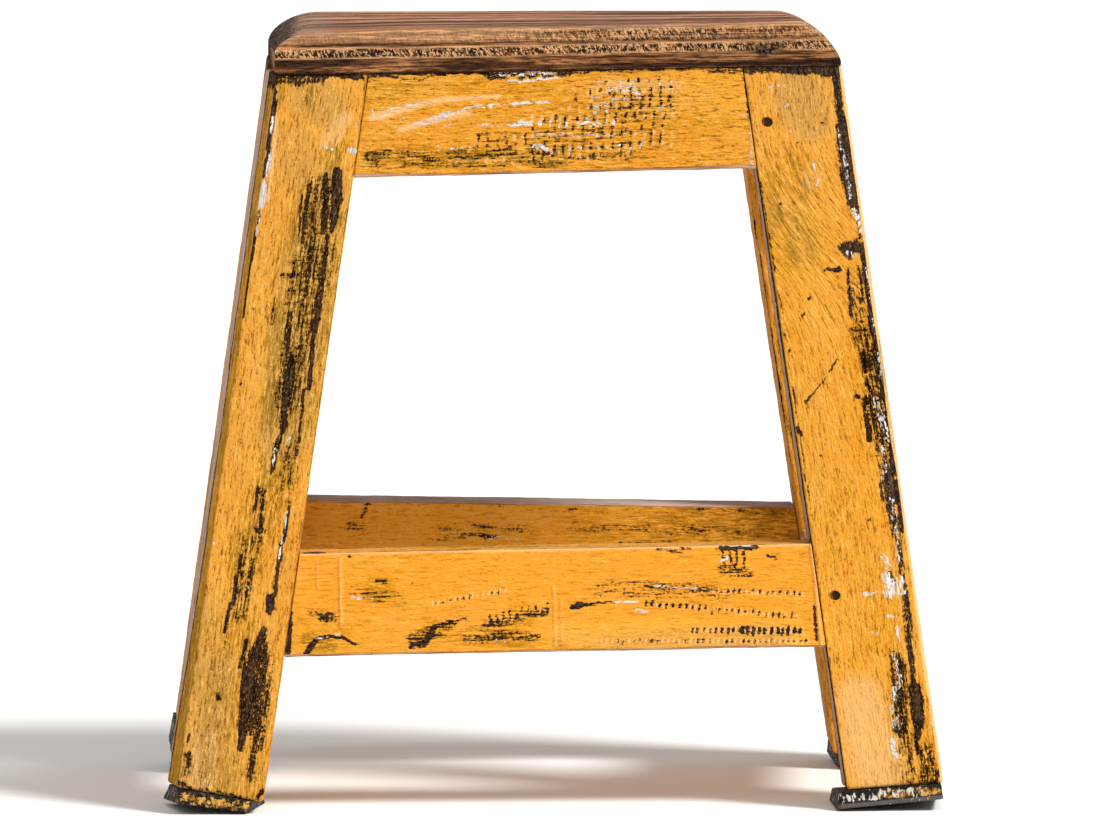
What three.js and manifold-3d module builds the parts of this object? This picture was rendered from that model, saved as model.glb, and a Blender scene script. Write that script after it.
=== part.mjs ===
// A low wooden stool: four splayed square legs, an apron frame under a thick
// plank seat, a stretcher frame near the floor, and a dark pad under each leg.
// Every rail has a tenon at each end that sits in a mortise in the leg, locked
// by a round wooden pin. Dowels locate the seat on the legs, and one nail holds
// each pad. Millimetres, +Z up, front towards -Y, feet on z = 0.
import * as THREE from 'three';
import { mergeVertices } from 'three/addons/utils/BufferGeometryUtils.js';
import { ConvexGeometry } from 'three/addons/geometries/ConvexGeometry.js';
import Module from 'manifold-3d';

const wasm = await Module();
wasm.setup();

// ---------------------------------------------------------------- dimensions
const GAP = 0.3;              // clearance between neighbouring pieces
const LEG_TOP = 405;          // height of the leg tops and of the apron tops
const HEIGHT = 430;           // height of the seat's top face
const HALF_DEPTH = 88;        // outer face of a leg at its top, from the centre, along Y
const LEAN_Y = 0.0815;        // how far a leg leans out along Y, per mm of drop
const LEG_DEPTH = 50.7;       // leg section along Y
const ARRIS = 2.2;            // sanded chamfer on the long edges of legs
const RAIL_ARRIS = 1.6;       // and of rails

// Legs: outer and inner side face at the leg top, with their lean per mm of drop,
// and the end cut: height z at the distance x, y from the centre, with its slopes.
// flare: how much further out the outer side face is at its inner Y edge.
const LEGS = {
  front_left:  { sx: -1, sy: -1, flare: 4.6, outer: [154.0, 0.1427], inner: [103.4, 0.1482], cut: { z: 6.3, x: 161.9, y: 120.5, kx: 0.177, ky: 0.0815 } },
  front_right: { sx: 1, sy: -1, flare: 0, outer: [158.0, 0.1390], inner: [103.5, 0.1419], cut: { z: 11.3, x: 155.8, y: 120.1, kx: 0.0697, ky: 0.0815 } },
  rear_left:   { sx: -1, sy: 1, flare: 0, outer: [155.5, 0.1380], inner: [104.5, 0.1400], cut: { z: 29.0, x: 207.4, y: 118.6, kx: 0.150, ky: 0.0815 } },
  rear_right:  { sx: 1, sy: 1, flare: 0, outer: [156.0, 0.1500], inner: [103.2, 0.1540], cut: { z: 12.7, x: 163.6, y: 120.0, kx: 0.140, ky: 0.0815 } },
};

// Seat plank: straight front and back, rounded over at both ends.
const SEAT = { left: -155.6, right: 157.2, front: -89, back: 89, roundLeft: [22.6, 20], roundRight: [27, 22] };

// Rails. bottom and top: height of each edge at the middle of the rail and its rise
// per mm along the rail. thick: section thickness. Front and rear rails are flush with
// the legs' outer faces, side rails with their inner faces.
const RAILS = {
  apron_front:      { bottom: [350.7, 0.0197], top: [LEG_TOP, 0], thick: 26 },
  apron_rear:       { bottom: [351.5, -0.004], top: [LEG_TOP, 0], thick: 30 },
  stretcher_front:  { bottom: [88.1, 0.0141], top: [144.6, 0.0148], thick: 26 },
  stretcher_rear:   { bottom: [95.0, -0.0170], top: [151.5, -0.0187], thick: 34 },
  apron_left:       { bottom: [342.7, 0], top: [LEG_TOP, 0], thick: 46 },
  apron_right:      { bottom: [342.7, 0], top: [LEG_TOP, 0], thick: 46 },
  stretcher_left:   { bottom: [85.5, 0.010], top: [142.0, 0.010], thick: 46 },
  stretcher_right:  { bottom: [82.0, -0.045], top: [139.5, -0.030], thick: 46 },
};

// Mortise and tenon. in: how far the tenon enters the leg. edge: shoulder above and
// below it. wall: from the rail's shown face to the tenon. thick: tenon thickness.
const TENON_LONG = { in: 27, edge: 9, wall: 7, thick: 12 };
const TENON_SIDE = { in: 25, edge: 9, wall: 16, thick: 14 };
const TENON_TOP = 385;        // apron tenons stop here, below the seat dowels

const PIN_R = 3.0;            // pin radius
const PIN_SUNK = 1.0;         // pin head below the leg's face
const PIN_BACK = 10.5;        // pin centre behind the shoulder
const PIN_LONG = 22.6;        // reach of a pin through a front or rear joint
const PIN_SIDE = 41;          // reach of a pin through a side joint

const DOWEL_R = 5;            // seat dowels
const DOWEL_Z = [388.5, 417];

// Foot pads, as distances from the centre: corners [outer x, outer y], [outer x,
// inner y], [inner x, inner y], [inner x, outer y], at the top and at the bottom,
// and the bottom plane: height z at x, y with its slopes. Each is worn flat at z = 0.
const PADS = {
  front_left:  { top: [[210.0, 121.3], [213.6, 70.0], [160.8, 69.6], [167.5, 121.2]], low: [[209.6, 121.9], [217.6, 70.6], [160.0, 69.0], [172.0, 122.0]], base: { z: 0.9, x: 173, y: 121, kx: 0.134, ky: 0.0815 } },
  front_right: { top: [[211.6, 121.6], [213.4, 70.0], [154.0, 69.5], [154.9, 121.4]], low: [[212.6, 122.1], [214.8, 69.4], [152.4, 68.6], [153.4, 122.2]], base: { z: 0.9, x: 153.5, y: 121, kx: 0.0915, ky: 0.0815 } },
  rear_left:   { top: [[209.3, 120.4], [208.6, 68.0], [157.5, 67.4], [158.2, 120.6]], low: [[211.8, 122.0], [210.8, 67.2], [156.4, 66.4], [157.0, 122.0]], base: { z: -2.6, x: 156.4, y: 66.4, kx: 0.175, ky: 0.125 } },
  rear_right:  { top: [[215.2, 121.2], [215.4, 69.5], [166.4, 69.2], [163.8, 121.4]], low: [[217.6, 122.2], [217.6, 68.4], [168.0, 69.0], [163.0, 122.2]], base: { z: -2.6, x: 162.2, y: 68.0, kx: 0.145, ky: 0.115 } },
};
const PAD_ROUND = 3;          // corners of the pads taken off by this much
const NAIL = { shank: 1.6, head: 3.6, headTall: 1.2, long: 30, sunk: 1.6 };

// ------------------------------------------------------------------ materials
const paint = (hex, rough) => new THREE.MeshStandardMaterial({ color: hex, roughness: rough, metalness: 0, flatShading: true });
const MAT = {
  paint: paint(0xe2a23a, 0.62),
  seat: paint(0x8a5a38, 0.58),
  pad: paint(0x2a2624, 0.7),
  pin: paint(0x3a2a1e, 0.75),
  dowel: paint(0xb58a5c, 0.7),
  nail: new THREE.MeshStandardMaterial({ color: 0x6d6a66, roughness: 0.5, metalness: 1, flatShading: true }),
};

// -------------------------------------------------------------------- helpers
function signedVolume(geo) {
  const p = geo.attributes.position, ix = geo.index;
  const a = new THREE.Vector3(), b = new THREE.Vector3(), c = new THREE.Vector3();
  let v = 0;
  for (let i = 0; i < ix.count; i += 3) {
    a.fromBufferAttribute(p, ix.getX(i));
    b.fromBufferAttribute(p, ix.getX(i + 1));
    c.fromBufferAttribute(p, ix.getX(i + 2));
    v += a.dot(b.cross(c));
  }
  return v / 6;
}

// A closed geometry as a solid, with its faces turned outwards.
function solid(geometry) {
  let g = geometry.clone();
  g.deleteAttribute('normal');
  g.deleteAttribute('uv');
  g = mergeVertices(g, 1e-3);
  if (signedVolume(g) < 0) {
    const ix = g.index;
    for (let i = 0; i < ix.count; i += 3) {
      const k = ix.getX(i + 1);
      ix.setX(i + 1, ix.getX(i + 2));
      ix.setX(i + 2, k);
    }
  }
  return new wasm.Manifold(new wasm.Mesh({
    numProp: 3,
    vertProperties: new Float32Array(g.attributes.position.array),
    triVerts: new Uint32Array(g.index.array),
  }));
}

function geometryOf(manifold) {
  const m = manifold.getMesh();
  const g = new THREE.BufferGeometry();
  g.setAttribute('position', new THREE.BufferAttribute(new Float32Array(m.vertProperties), 3));
  g.setIndex(new THREE.BufferAttribute(new Uint32Array(m.triVerts), 1));
  g.computeVertexNormals();
  return g;
}

// Move every vertex (u, v, w) of a geometry to fn(u, v, w).
function mapped(geometry, fn) {
  const g = geometry.clone();
  const p = g.attributes.position;
  for (let i = 0; i < p.count; i++) {
    const [x, y, z] = fn(p.getX(i), p.getY(i), p.getZ(i));
    p.setXYZ(i, x, y, z);
  }
  return g;
}

const outline = (points) => new THREE.Shape(points.map(([x, y]) => new THREE.Vector2(x, y)));
const prism = (points, depth) => new THREE.ExtrudeGeometry(outline(points), { depth, bevelEnabled: false, steps: 1 });

// A rectangle from (0, 0) to (w, h) with its four corners cut off by c.
const cutRect = (w, h, c) => [[c, 0], [w - c, 0], [w, c], [w, h - c], [w - c, h], [c, h], [0, h - c], [0, c]];

const faceX = (line, z) => line[0] + line[1] * (LEG_TOP - z);
const faceY = (z) => HALF_DEPTH + LEAN_Y * (LEG_TOP - z);
// Outer side face of a leg at the distance b from its outer Y face.
const outerX = (L, z, b) => faceX(L.outer, z) + L.flare * b / LEG_DEPTH;

// A round bar from point a to point b.
function bar(a, b, r, sides = 14) {
  const from = new THREE.Vector3(...a), to = new THREE.Vector3(...b);
  const dir = to.clone().sub(from);
  const g = new THREE.CylinderGeometry(r, r, dir.length(), sides);
  g.applyQuaternion(new THREE.Quaternion().setFromUnitVectors(new THREE.Vector3(0, 1, 0), dir.clone().normalize()));
  g.translate((from.x + to.x) / 2, (from.y + to.y) / 2, (from.z + to.z) / 2);
  return g;
}

// ----------------------------------------------------------------------- legs
const LEG_NOMINAL = 50;
function legSolid(L) {
  const section = cutRect(LEG_NOMINAL, LEG_DEPTH, ARRIS);
  const endZ = (a, b) => {
    let z = L.cut.z;
    for (let i = 0; i < 12; i++) {
      const xo = outerX(L, z, b), xi = faceX(L.inner, z);
      const x = xo - (a / LEG_NOMINAL) * (xo - xi);
      const y = faceY(z) - b;
      z = L.cut.z + L.cut.kx * (x - L.cut.x) + L.cut.ky * (y - L.cut.y);
    }
    return z;
  };
  return solid(mapped(prism(section, 1), (a, b, h) => {
    const z = h > 0.5 ? LEG_TOP : endZ(a, b);
    const xo = outerX(L, z, b), xi = faceX(L.inner, z);
    return [L.sx * (xo - (a / LEG_NOMINAL) * (xo - xi)), L.sy * (faceY(z) - b), z];
  }));
}

// ---------------------------------------------------------------------- rails
// Front and rear rails run along X between a left and a right leg; side rails run
// along Y between a front and a rear leg.
const RUNS = {
  apron_front: ['front_left', 'front_right', 'x', -1],
  apron_rear: ['rear_left', 'rear_right', 'x', 1],
  stretcher_front: ['front_left', 'front_right', 'x', -1],
  stretcher_rear: ['rear_left', 'rear_right', 'x', 1],
  apron_left: ['front_left', 'rear_left', 'y', -1],
  apron_right: ['front_right', 'rear_right', 'y', 1],
  stretcher_left: ['front_left', 'rear_left', 'y', -1],
  stretcher_right: ['front_right', 'rear_right', 'y', 1],
};

// Point of a rail. end: -1 for its left or front leg, +1 for the other. into: distance
// past the leg's near face. f: 0 at the rail's bottom, 1 at its top, plus lift in mm.
// w: distance inwards from the outer face (long rails) or outwards from the inner
// face (side rails).
function railPoint(name, end, into, f, lift, w) {
  const [legA, legB, along, side] = RUNS[name];
  const R = RAILS[name];
  const L = LEGS[end < 0 ? legA : legB];
  let z = LEG_TOP - 100, x = 0, y = 0;
  if (along === 'x') {
    for (let i = 0; i < 12; i++) {
      x = end * (faceX(L.inner, z) + into);
      const lo = R.bottom[0] + R.bottom[1] * x, hi = R.top[0] + R.top[1] * x;
      z = lo + f * (hi - lo) + lift;
    }
    y = side * (faceY(z) - w);
  } else {
    for (let i = 0; i < 12; i++) {
      y = end * (faceY(z) - LEG_DEPTH + into);
      const lo = R.bottom[0] + R.bottom[1] * y, hi = R.top[0] + R.top[1] * y;
      z = lo + f * (hi - lo) + lift;
    }
    const reach = faceY(z) - LEG_DEPTH;
    const k = (y + reach) / (2 * reach);
    const inner = (1 - k) * faceX(LEGS[legA].inner, z) + k * faceX(LEGS[legB].inner, z);
    x = side * (inner + w);
  }
  return [x, y, z];
}

const tall = (name) => RAILS[name].top[0] - RAILS[name].bottom[0];

// Heights in the lower half are taken from the rail's bottom edge, and those in the
// upper half from its top edge.
const atHeight = (v, h) => (v < h / 2 ? [0, v] : [1, v - h]);

function railBody(name) {
  const h = tall(name);
  const section = cutRect(RAILS[name].thick, h, RAIL_ARRIS);
  return solid(mapped(prism(section, 1), (w, v, e) => railPoint(name, e > 0.5 ? 1 : -1, -GAP, ...atHeight(v, h), w)));
}

function tenonGeometry(name, end, grow) {
  const R = RAILS[name], h = tall(name);
  const T = RUNS[name][2] === 'x' ? TENON_LONG : TENON_SIDE;
  const capped = R.top[0] >= LEG_TOP ? Math.min(h - T.edge, TENON_TOP - R.bottom[0]) : h - T.edge;
  const from = grow > 0 ? -3 : -2;
  const box = prism([[T.wall - grow, T.edge - grow], [T.wall + T.thick + grow, T.edge - grow], [T.wall + T.thick + grow, capped + grow], [T.wall - grow, capped + grow]], 1);
  return mapped(box, (w, v, e) => railPoint(name, end, e > 0.5 ? T.in + grow : from, ...atHeight(v, h), w));
}

// Ends of the pin that locks a joint, from the leg's outer face inwards.
function pinEnds(name, end, from, to) {
  const [legA, legB, along, side] = RUNS[name];
  const L = LEGS[end < 0 ? legA : legB];
  const R = RAILS[name], h = tall(name);
  const T = along === 'x' ? TENON_LONG : TENON_SIDE;
  const capped = R.top[0] >= LEG_TOP ? Math.min(h - T.edge, TENON_TOP - R.bottom[0]) : h - T.edge;
  const v = along === 'x' && R.top[0] >= LEG_TOP ? capped - 6.5 : (T.edge + capped) / 2;
  if (along === 'x') {
    const [x, , z] = railPoint(name, end, PIN_BACK, ...atHeight(v, h), 0);
    const face = faceY(z);
    return [[x, side * (face - from), z], [x, side * (face - to), z]];
  }
  const [, y, z] = railPoint(name, end, PIN_BACK, ...atHeight(v, h), 0);
  const face = outerX(L, z, faceY(z) - Math.abs(y));
  return [[side * (face - from), y, z], [side * (face - to), y, z]];
}

// ----------------------------------------------------------------- assembling
const stool = new THREE.Group();
const add = (name, geometry, material) => {
  const mesh = new THREE.Mesh(geometry, material);
  mesh.name = name;
  stool.add(mesh);
  return mesh;
};

// Seat: end profile drawn in X-Z and run along Y.
const seatOutline = [[SEAT.left, LEG_TOP + GAP], [SEAT.right, LEG_TOP + GAP]];
for (let i = 0; i <= 9; i++) {
  const t = (i / 9) * Math.PI / 2;
  seatOutline.push([SEAT.right - SEAT.roundRight[0] * (1 - Math.cos(t)), HEIGHT - SEAT.roundRight[1] * (1 - Math.sin(t))]);
}
for (let i = 0; i <= 9; i++) {
  const t = (i / 9) * Math.PI / 2;
  seatOutline.push([SEAT.left + SEAT.roundLeft[0] * (1 - Math.sin(t)), HEIGHT - SEAT.roundLeft[1] * (1 - Math.cos(t))]);
}
let seat = solid(mapped(prism(seatOutline, SEAT.back - SEAT.front), (x, z, y) => [x, y + SEAT.front, z]));

const legSolids = {};
for (const [key, L] of Object.entries(LEGS)) legSolids[key] = legSolid(L);

// Rails with their tenons; the legs get the mortises and the pin holes.
for (const name of Object.keys(RAILS)) {
  const [legA, legB] = RUNS[name];
  let rail = railBody(name);
  for (const end of [-1, 1]) {
    const leg = end < 0 ? legA : legB;
    rail = rail.add(solid(tenonGeometry(name, end, 0)));
    legSolids[leg] = legSolids[leg].subtract(solid(tenonGeometry(name, end, GAP)));
  }
  for (const end of [-1, 1]) {
    const leg = end < 0 ? legA : legB;
    const reach = RUNS[name][2] === 'x' ? PIN_LONG : PIN_SIDE;
    const hole = solid(bar(...pinEnds(name, end, -4, reach + 0.5), PIN_R + GAP));
    rail = rail.subtract(hole);
    legSolids[leg] = legSolids[leg].subtract(hole);
    add(`pin_${name}_${RUNS[name][2] === 'x' ? leg.split('_')[1] : leg.split('_')[0]}`, bar(...pinEnds(name, end, PIN_SUNK, reach), PIN_R), MAT.pin);
  }
  add(name, geometryOf(rail), MAT.paint);
}

// Seat dowels, in the middle of each leg top.
for (const [key, L] of Object.entries(LEGS)) {
  const x = L.sx * (faceX(L.outer, LEG_TOP) + faceX(L.inner, LEG_TOP)) / 2;
  const y = L.sy * (HALF_DEPTH - LEG_DEPTH / 2);
  const hole = solid(bar([x, y, DOWEL_Z[0] - 0.5], [x, y, DOWEL_Z[1] + 0.5], DOWEL_R + GAP, 18));
  legSolids[key] = legSolids[key].subtract(hole);
  seat = seat.subtract(hole);
  add(`dowel_seat_${key}`, bar([x, y, DOWEL_Z[0]], [x, y, DOWEL_Z[1]], DOWEL_R, 18), MAT.dowel);
}
add('seat_plank', geometryOf(seat), MAT.seat);

// Foot pads and their nails.
const plane = (b, x, y) => b.z + b.kx * (x - b.x) + b.ky * (y - b.y);
function rounded(corners) {
  const out = [];
  for (let i = 0; i < 4; i++) {
    const c = new THREE.Vector2(...corners[i]);
    for (const other of [corners[(i + 3) % 4], corners[(i + 1) % 4]]) {
      const d = new THREE.Vector2(...other).sub(c).setLength(PAD_ROUND);
      out.push([c.x + d.x, c.y + d.y]);
    }
  }
  return out;
}
const floorCut = (() => {
  const g = new THREE.BoxGeometry(600, 600, 40);
  g.translate(0, 0, -20);
  return solid(g);
})();
for (const [key, L] of Object.entries(LEGS)) {
  const P = PADS[key];
  const points = [];
  for (const [x, y] of rounded(P.top)) points.push(new THREE.Vector3(L.sx * x, L.sy * y, plane(L.cut, x, y) - GAP - 0.05));
  for (const [x, y] of rounded(P.low)) points.push(new THREE.Vector3(L.sx * x, L.sy * y, plane(P.base, x, y)));
  let pad = solid(new ConvexGeometry(points)).subtract(floorCut);

  // Nail along the leg, through the pad's middle.
  const mx = (P.low[0][0] + P.low[1][0] + P.low[2][0] + P.low[3][0]) / 4;
  const my = (P.low[0][1] + P.low[1][1] + P.low[2][1] + P.low[3][1]) / 4;
  const baseZ = Math.max(0, plane(P.base, mx, my));
  const axis = new THREE.Vector3(-L.sx * 0.142, -L.sy * LEAN_Y, 1).normalize();
  const turn = new THREE.Quaternion().setFromUnitVectors(new THREE.Vector3(0, 1, 0), axis);
  const at = new THREE.Vector3(L.sx * mx, L.sy * my, baseZ);
  const lathe = (profile, s) => {
    const g = new THREE.LatheGeometry(profile.map(([r, h]) => new THREE.Vector2(r, h)), 14);
    g.applyQuaternion(turn);
    const o = at.clone().addScaledVector(axis, s);
    g.translate(o.x, o.y, o.z);
    return g;
  };
  const { shank, head, headTall, long, sunk } = NAIL;
  const nail = lathe([[0, 0], [head, 0], [head, headTall * 0.6], [shank, headTall], [shank, long - 4], [0, long]], sunk);
  const hole = solid(lathe([[0, -sunk - 3], [head + GAP, -sunk - 3], [head + GAP, headTall + GAP], [shank + GAP, headTall + GAP + 0.1], [shank + GAP, long - 4], [0, long + 1]], sunk));
  pad = pad.subtract(hole);
  legSolids[key] = legSolids[key].subtract(hole);
  add(`nail_pad_${key}`, nail, MAT.nail);
  add(`foot_pad_${key}`, geometryOf(pad), MAT.pad);
}

for (const key of Object.keys(LEGS)) add(`leg_${key}`, geometryOf(legSolids[key]), MAT.paint);

export default stool;
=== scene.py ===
"""Looks of the low painted stool: fine meshes for the plank seat, legs, rails and foot pads, with
rounded and worn arrises, saw marks and brush relief, and layered procedural finishes.
Lengths in the tables are millimetres; objects are made in metres."""

import math

import bpy
import numpy as np
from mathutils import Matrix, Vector


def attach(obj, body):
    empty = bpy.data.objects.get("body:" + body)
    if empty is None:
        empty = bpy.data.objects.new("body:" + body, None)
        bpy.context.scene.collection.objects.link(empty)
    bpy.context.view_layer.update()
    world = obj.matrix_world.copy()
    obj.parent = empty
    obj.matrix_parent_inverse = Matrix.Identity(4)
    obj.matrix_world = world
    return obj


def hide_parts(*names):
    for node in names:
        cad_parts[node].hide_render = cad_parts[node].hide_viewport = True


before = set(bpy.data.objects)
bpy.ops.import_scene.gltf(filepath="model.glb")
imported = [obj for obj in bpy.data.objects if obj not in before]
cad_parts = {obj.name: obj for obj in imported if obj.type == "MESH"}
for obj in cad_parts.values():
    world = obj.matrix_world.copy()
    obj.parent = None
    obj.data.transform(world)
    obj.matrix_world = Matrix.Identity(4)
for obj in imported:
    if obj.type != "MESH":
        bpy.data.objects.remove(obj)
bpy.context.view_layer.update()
scene = bpy.context.scene

# ------------------------------------------------------------------ the shape
GAP = 0.3
LEG_TOP = 405.0
HALF_DEPTH = 88.0
LEAN_Y = 0.0815
LEG_DEPTH = 50.7
LEGS = {
    "front_left": dict(sx=-1, sy=-1, flare=4.6, outer=(154.0, 0.1427), inner=(103.4, 0.1482), cut=(6.3, 161.9, 120.5, 0.177, 0.0815)),
    "front_right": dict(sx=1, sy=-1, flare=0.0, outer=(158.0, 0.1390), inner=(103.5, 0.1419), cut=(11.3, 155.8, 120.1, 0.0697, 0.0815)),
    "rear_left": dict(sx=-1, sy=1, flare=0.0, outer=(155.5, 0.1380), inner=(104.5, 0.1400), cut=(29.0, 207.4, 118.6, 0.150, 0.0815)),
    "rear_right": dict(sx=1, sy=1, flare=0.0, outer=(156.0, 0.1500), inner=(103.2, 0.1540), cut=(12.7, 163.6, 120.0, 0.140, 0.0815)),
}
RAILS = {
    "apron_front": dict(bottom=(350.7, 0.0197), top=(405.0, 0.0), thick=26.0),
    "apron_rear": dict(bottom=(351.5, -0.004), top=(405.0, 0.0), thick=30.0),
    "stretcher_front": dict(bottom=(88.1, 0.0141), top=(144.6, 0.0148), thick=26.0),
    "stretcher_rear": dict(bottom=(95.0, -0.0170), top=(151.5, -0.0187), thick=34.0),
    "apron_left": dict(bottom=(342.7, 0.0), top=(405.0, 0.0), thick=46.0),
    "apron_right": dict(bottom=(342.7, 0.0), top=(405.0, 0.0), thick=46.0),
    "stretcher_left": dict(bottom=(85.5, 0.010), top=(142.0, 0.010), thick=46.0),
    "stretcher_right": dict(bottom=(82.0, -0.045), top=(139.5, -0.030), thick=46.0),
}
RUNS = {
    "apron_front": ("front_left", "front_right", "x", -1),
    "apron_rear": ("rear_left", "rear_right", "x", 1),
    "stretcher_front": ("front_left", "front_right", "x", -1),
    "stretcher_rear": ("rear_left", "rear_right", "x", 1),
    "apron_left": ("front_left", "rear_left", "y", -1),
    "apron_right": ("front_right", "rear_right", "y", 1),
    "stretcher_left": ("front_left", "rear_left", "y", -1),
    "stretcher_right": ("front_right", "rear_right", "y", 1),
}
PADS = {
    "front_left": dict(top=[(210.0, 121.3), (213.6, 70.0), (160.8, 69.6), (167.5, 121.2)], low=[(209.6, 121.9), (217.6, 70.6), (160.0, 69.0), (172.0, 122.0)], base=(0.9, 173.0, 121.0, 0.134, 0.0815)),
    "front_right": dict(top=[(211.6, 121.6), (213.4, 70.0), (154.0, 69.5), (154.9, 121.4)], low=[(212.6, 122.1), (214.8, 69.4), (152.4, 68.6), (153.4, 122.2)], base=(0.9, 153.5, 121.0, 0.0915, 0.0815)),
    "rear_left": dict(top=[(209.3, 120.4), (208.6, 68.0), (157.5, 67.4), (158.2, 120.6)], low=[(211.8, 122.0), (210.8, 67.2), (156.4, 66.4), (157.0, 122.0)], base=(-2.6, 156.4, 66.4, 0.175, 0.125)),
    "rear_right": dict(top=[(215.2, 121.2), (215.4, 69.5), (166.4, 69.2), (163.8, 121.4)], low=[(217.6, 122.2), (217.6, 68.4), (168.0, 69.0), (163.0, 122.2)], base=(-2.6, 162.2, 68.0, 0.145, 0.115)),
}
SEAT = dict(left=-155.6, right=157.2, front=-89.0, back=89.0, round_left=(22.6, 20.0), round_right=(27.0, 22.0))

# ----------------------------------------------------------- the photo's view
VIEW_AZ, VIEW_EL = math.radians(-2.43), math.radians(5.27)
VIEW_FAR = 7050.0
VIEW_AT = np.array([0.5, 0.0, 210.3])
VIEW_F = VIEW_FAR / 0.5586  # focal length in pixels of a picture 1100 wide
BACK = np.array([math.sin(VIEW_AZ) * math.cos(VIEW_EL), -math.cos(VIEW_AZ) * math.cos(VIEW_EL), math.sin(VIEW_EL)])
RIGHT = np.array([math.cos(VIEW_AZ), math.sin(VIEW_AZ), 0.0])
UP = np.cross(RIGHT, -BACK)
EYE = VIEW_AT + VIEW_FAR * BACK


def seen_at(p):
    """Pixel of the 1100 x 824 picture at which each point shows."""
    d = p - EYE
    deep = -(d @ BACK)
    return np.stack([550 + VIEW_F * (d @ RIGHT) / deep, 412 - VIEW_F * (d @ UP) / deep], 1)


# ------------------------------------------------------------------ small maths
def _hash(x, y, z, seed):
    h = (x.astype(np.uint32) * np.uint32(0x8DA6B343)) ^ (y.astype(np.uint32) * np.uint32(0xD8163841)) ^ (z.astype(np.uint32) * np.uint32(0xCB1AB31F)) ^ np.uint32((seed * 0x9E3779B1) & 0xFFFFFFFF)
    h ^= h >> np.uint32(15)
    h *= np.uint32(0x2C1B3C6D)
    h ^= h >> np.uint32(12)
    h *= np.uint32(0x297A2D39)
    h ^= h >> np.uint32(15)
    return h.astype(np.float64) / 4294967295.0


def noise(p, seed=0):
    """Smooth noise from -1 to 1 at each row of p."""
    i = np.floor(p).astype(np.int64)
    f = p - i
    w = f * f * f * (f * (f * 6 - 15) + 10)
    out = np.zeros(len(p))
    for dx in (0, 1):
        wx = w[:, 0] if dx else 1 - w[:, 0]
        for dy in (0, 1):
            wy = w[:, 1] if dy else 1 - w[:, 1]
            for dz in (0, 1):
                wz = w[:, 2] if dz else 1 - w[:, 2]
                out += wx * wy * wz * (2 * _hash(i[:, 0] + dx, i[:, 1] + dy, i[:, 2] + dz, seed) - 1)
    return out


def fbm(p, octaves=3, seed=0):
    out, amp, total = np.zeros(len(p)), 1.0, 0.0
    for o in range(octaves):
        out += amp * noise(p * 2.03**o + 17.3 * o, seed + o)
        total += amp
        amp *= 0.5
    return out / total


def smooth(lo, hi, x):
    t = np.clip((x - lo) / (hi - lo), 0, 1)
    return t * t * (3 - 2 * t)


# ------------------------------------------------ a bar with a rounded section
NRM = np.array([(0, -1), (1, 0), (0, 1), (-1, 0)], float)
TAU = np.array([(1, 0), (0, 1), (-1, 0), (0, -1)], float)
ARC = 4


def columns(a0, b0, r0, cells):
    ks, ts = [], []
    for k in range(4):
        long = (a0, b0)[k % 2]
        n = max(3, round((long - 2 * r0) / cells[k]))
        t = np.concatenate([np.linspace(0, r0, ARC + 1)[:-1], np.linspace(r0, long - r0, n + 1), np.linspace(long - r0, long, ARC + 1)[1:-1]])
        ks.append(np.full(len(t), k))
        ts.append(t)
    return np.concatenate(ks), np.concatenate(ts)


def section(k, t, A, B, r, a0, b0, r0):
    """Place on the section, and outward direction there, of perimeter coordinate (k, t)."""
    n = np.arange(len(k))
    even = k % 2 == 0
    long0, long = np.where(even, a0, b0), np.where(even, A, B)
    r1, r2 = r[n, k], r[n, (k + 1) % 4]
    lo, hi = t < r0, t > long0 - r0
    al = np.where(lo, (1 - t / r0), np.where(hi, (t - (long0 - r0)) / r0, 0)) * math.pi / 4
    sgn = np.where(lo, -1.0, np.where(hi, 1.0, 0.0))
    rr = np.where(lo, r1, r2)
    mid = r1 + (t - r0) / (long0 - 2 * r0) * (long - r1 - r2)
    x = np.where(lo, r1 - r1 * np.sin(al), np.where(hi, long - r2 + r2 * np.sin(al), mid))
    y = np.where(lo | hi, -(rr - rr * np.cos(al)), 0.0)
    corner = np.stack([np.where((k == 1) | (k == 2), A, 0), np.where(k >= 2, B, 0)], 1)
    p = corner + TAU[k] * x[:, None] + NRM[k] * y[:, None]
    d = TAU[k] * (np.sin(al) * sgn)[:, None] + NRM[k] * np.cos(al)[:, None]
    return p, d


def row_places(long, cell, near, far):
    """Distances along a bar and the inset at each, with both ends rounded off."""
    s, e = [], []
    for b in np.linspace(90, 0, 5):
        s.append(near * (1 - math.sin(math.radians(b))))
        e.append(near * (1 - math.cos(math.radians(b))))
    n = max(4, round((long - near - far) / cell))
    for q in np.linspace(near, long - far, n + 1)[1:-1]:
        s.append(q)
        e.append(0.0)
    for b in np.linspace(0, 90, 5):
        s.append(long - far * (1 - math.sin(math.radians(b))))
        e.append(far * (1 - math.cos(math.radians(b))))
    return np.array(s), np.array(e)


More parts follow.
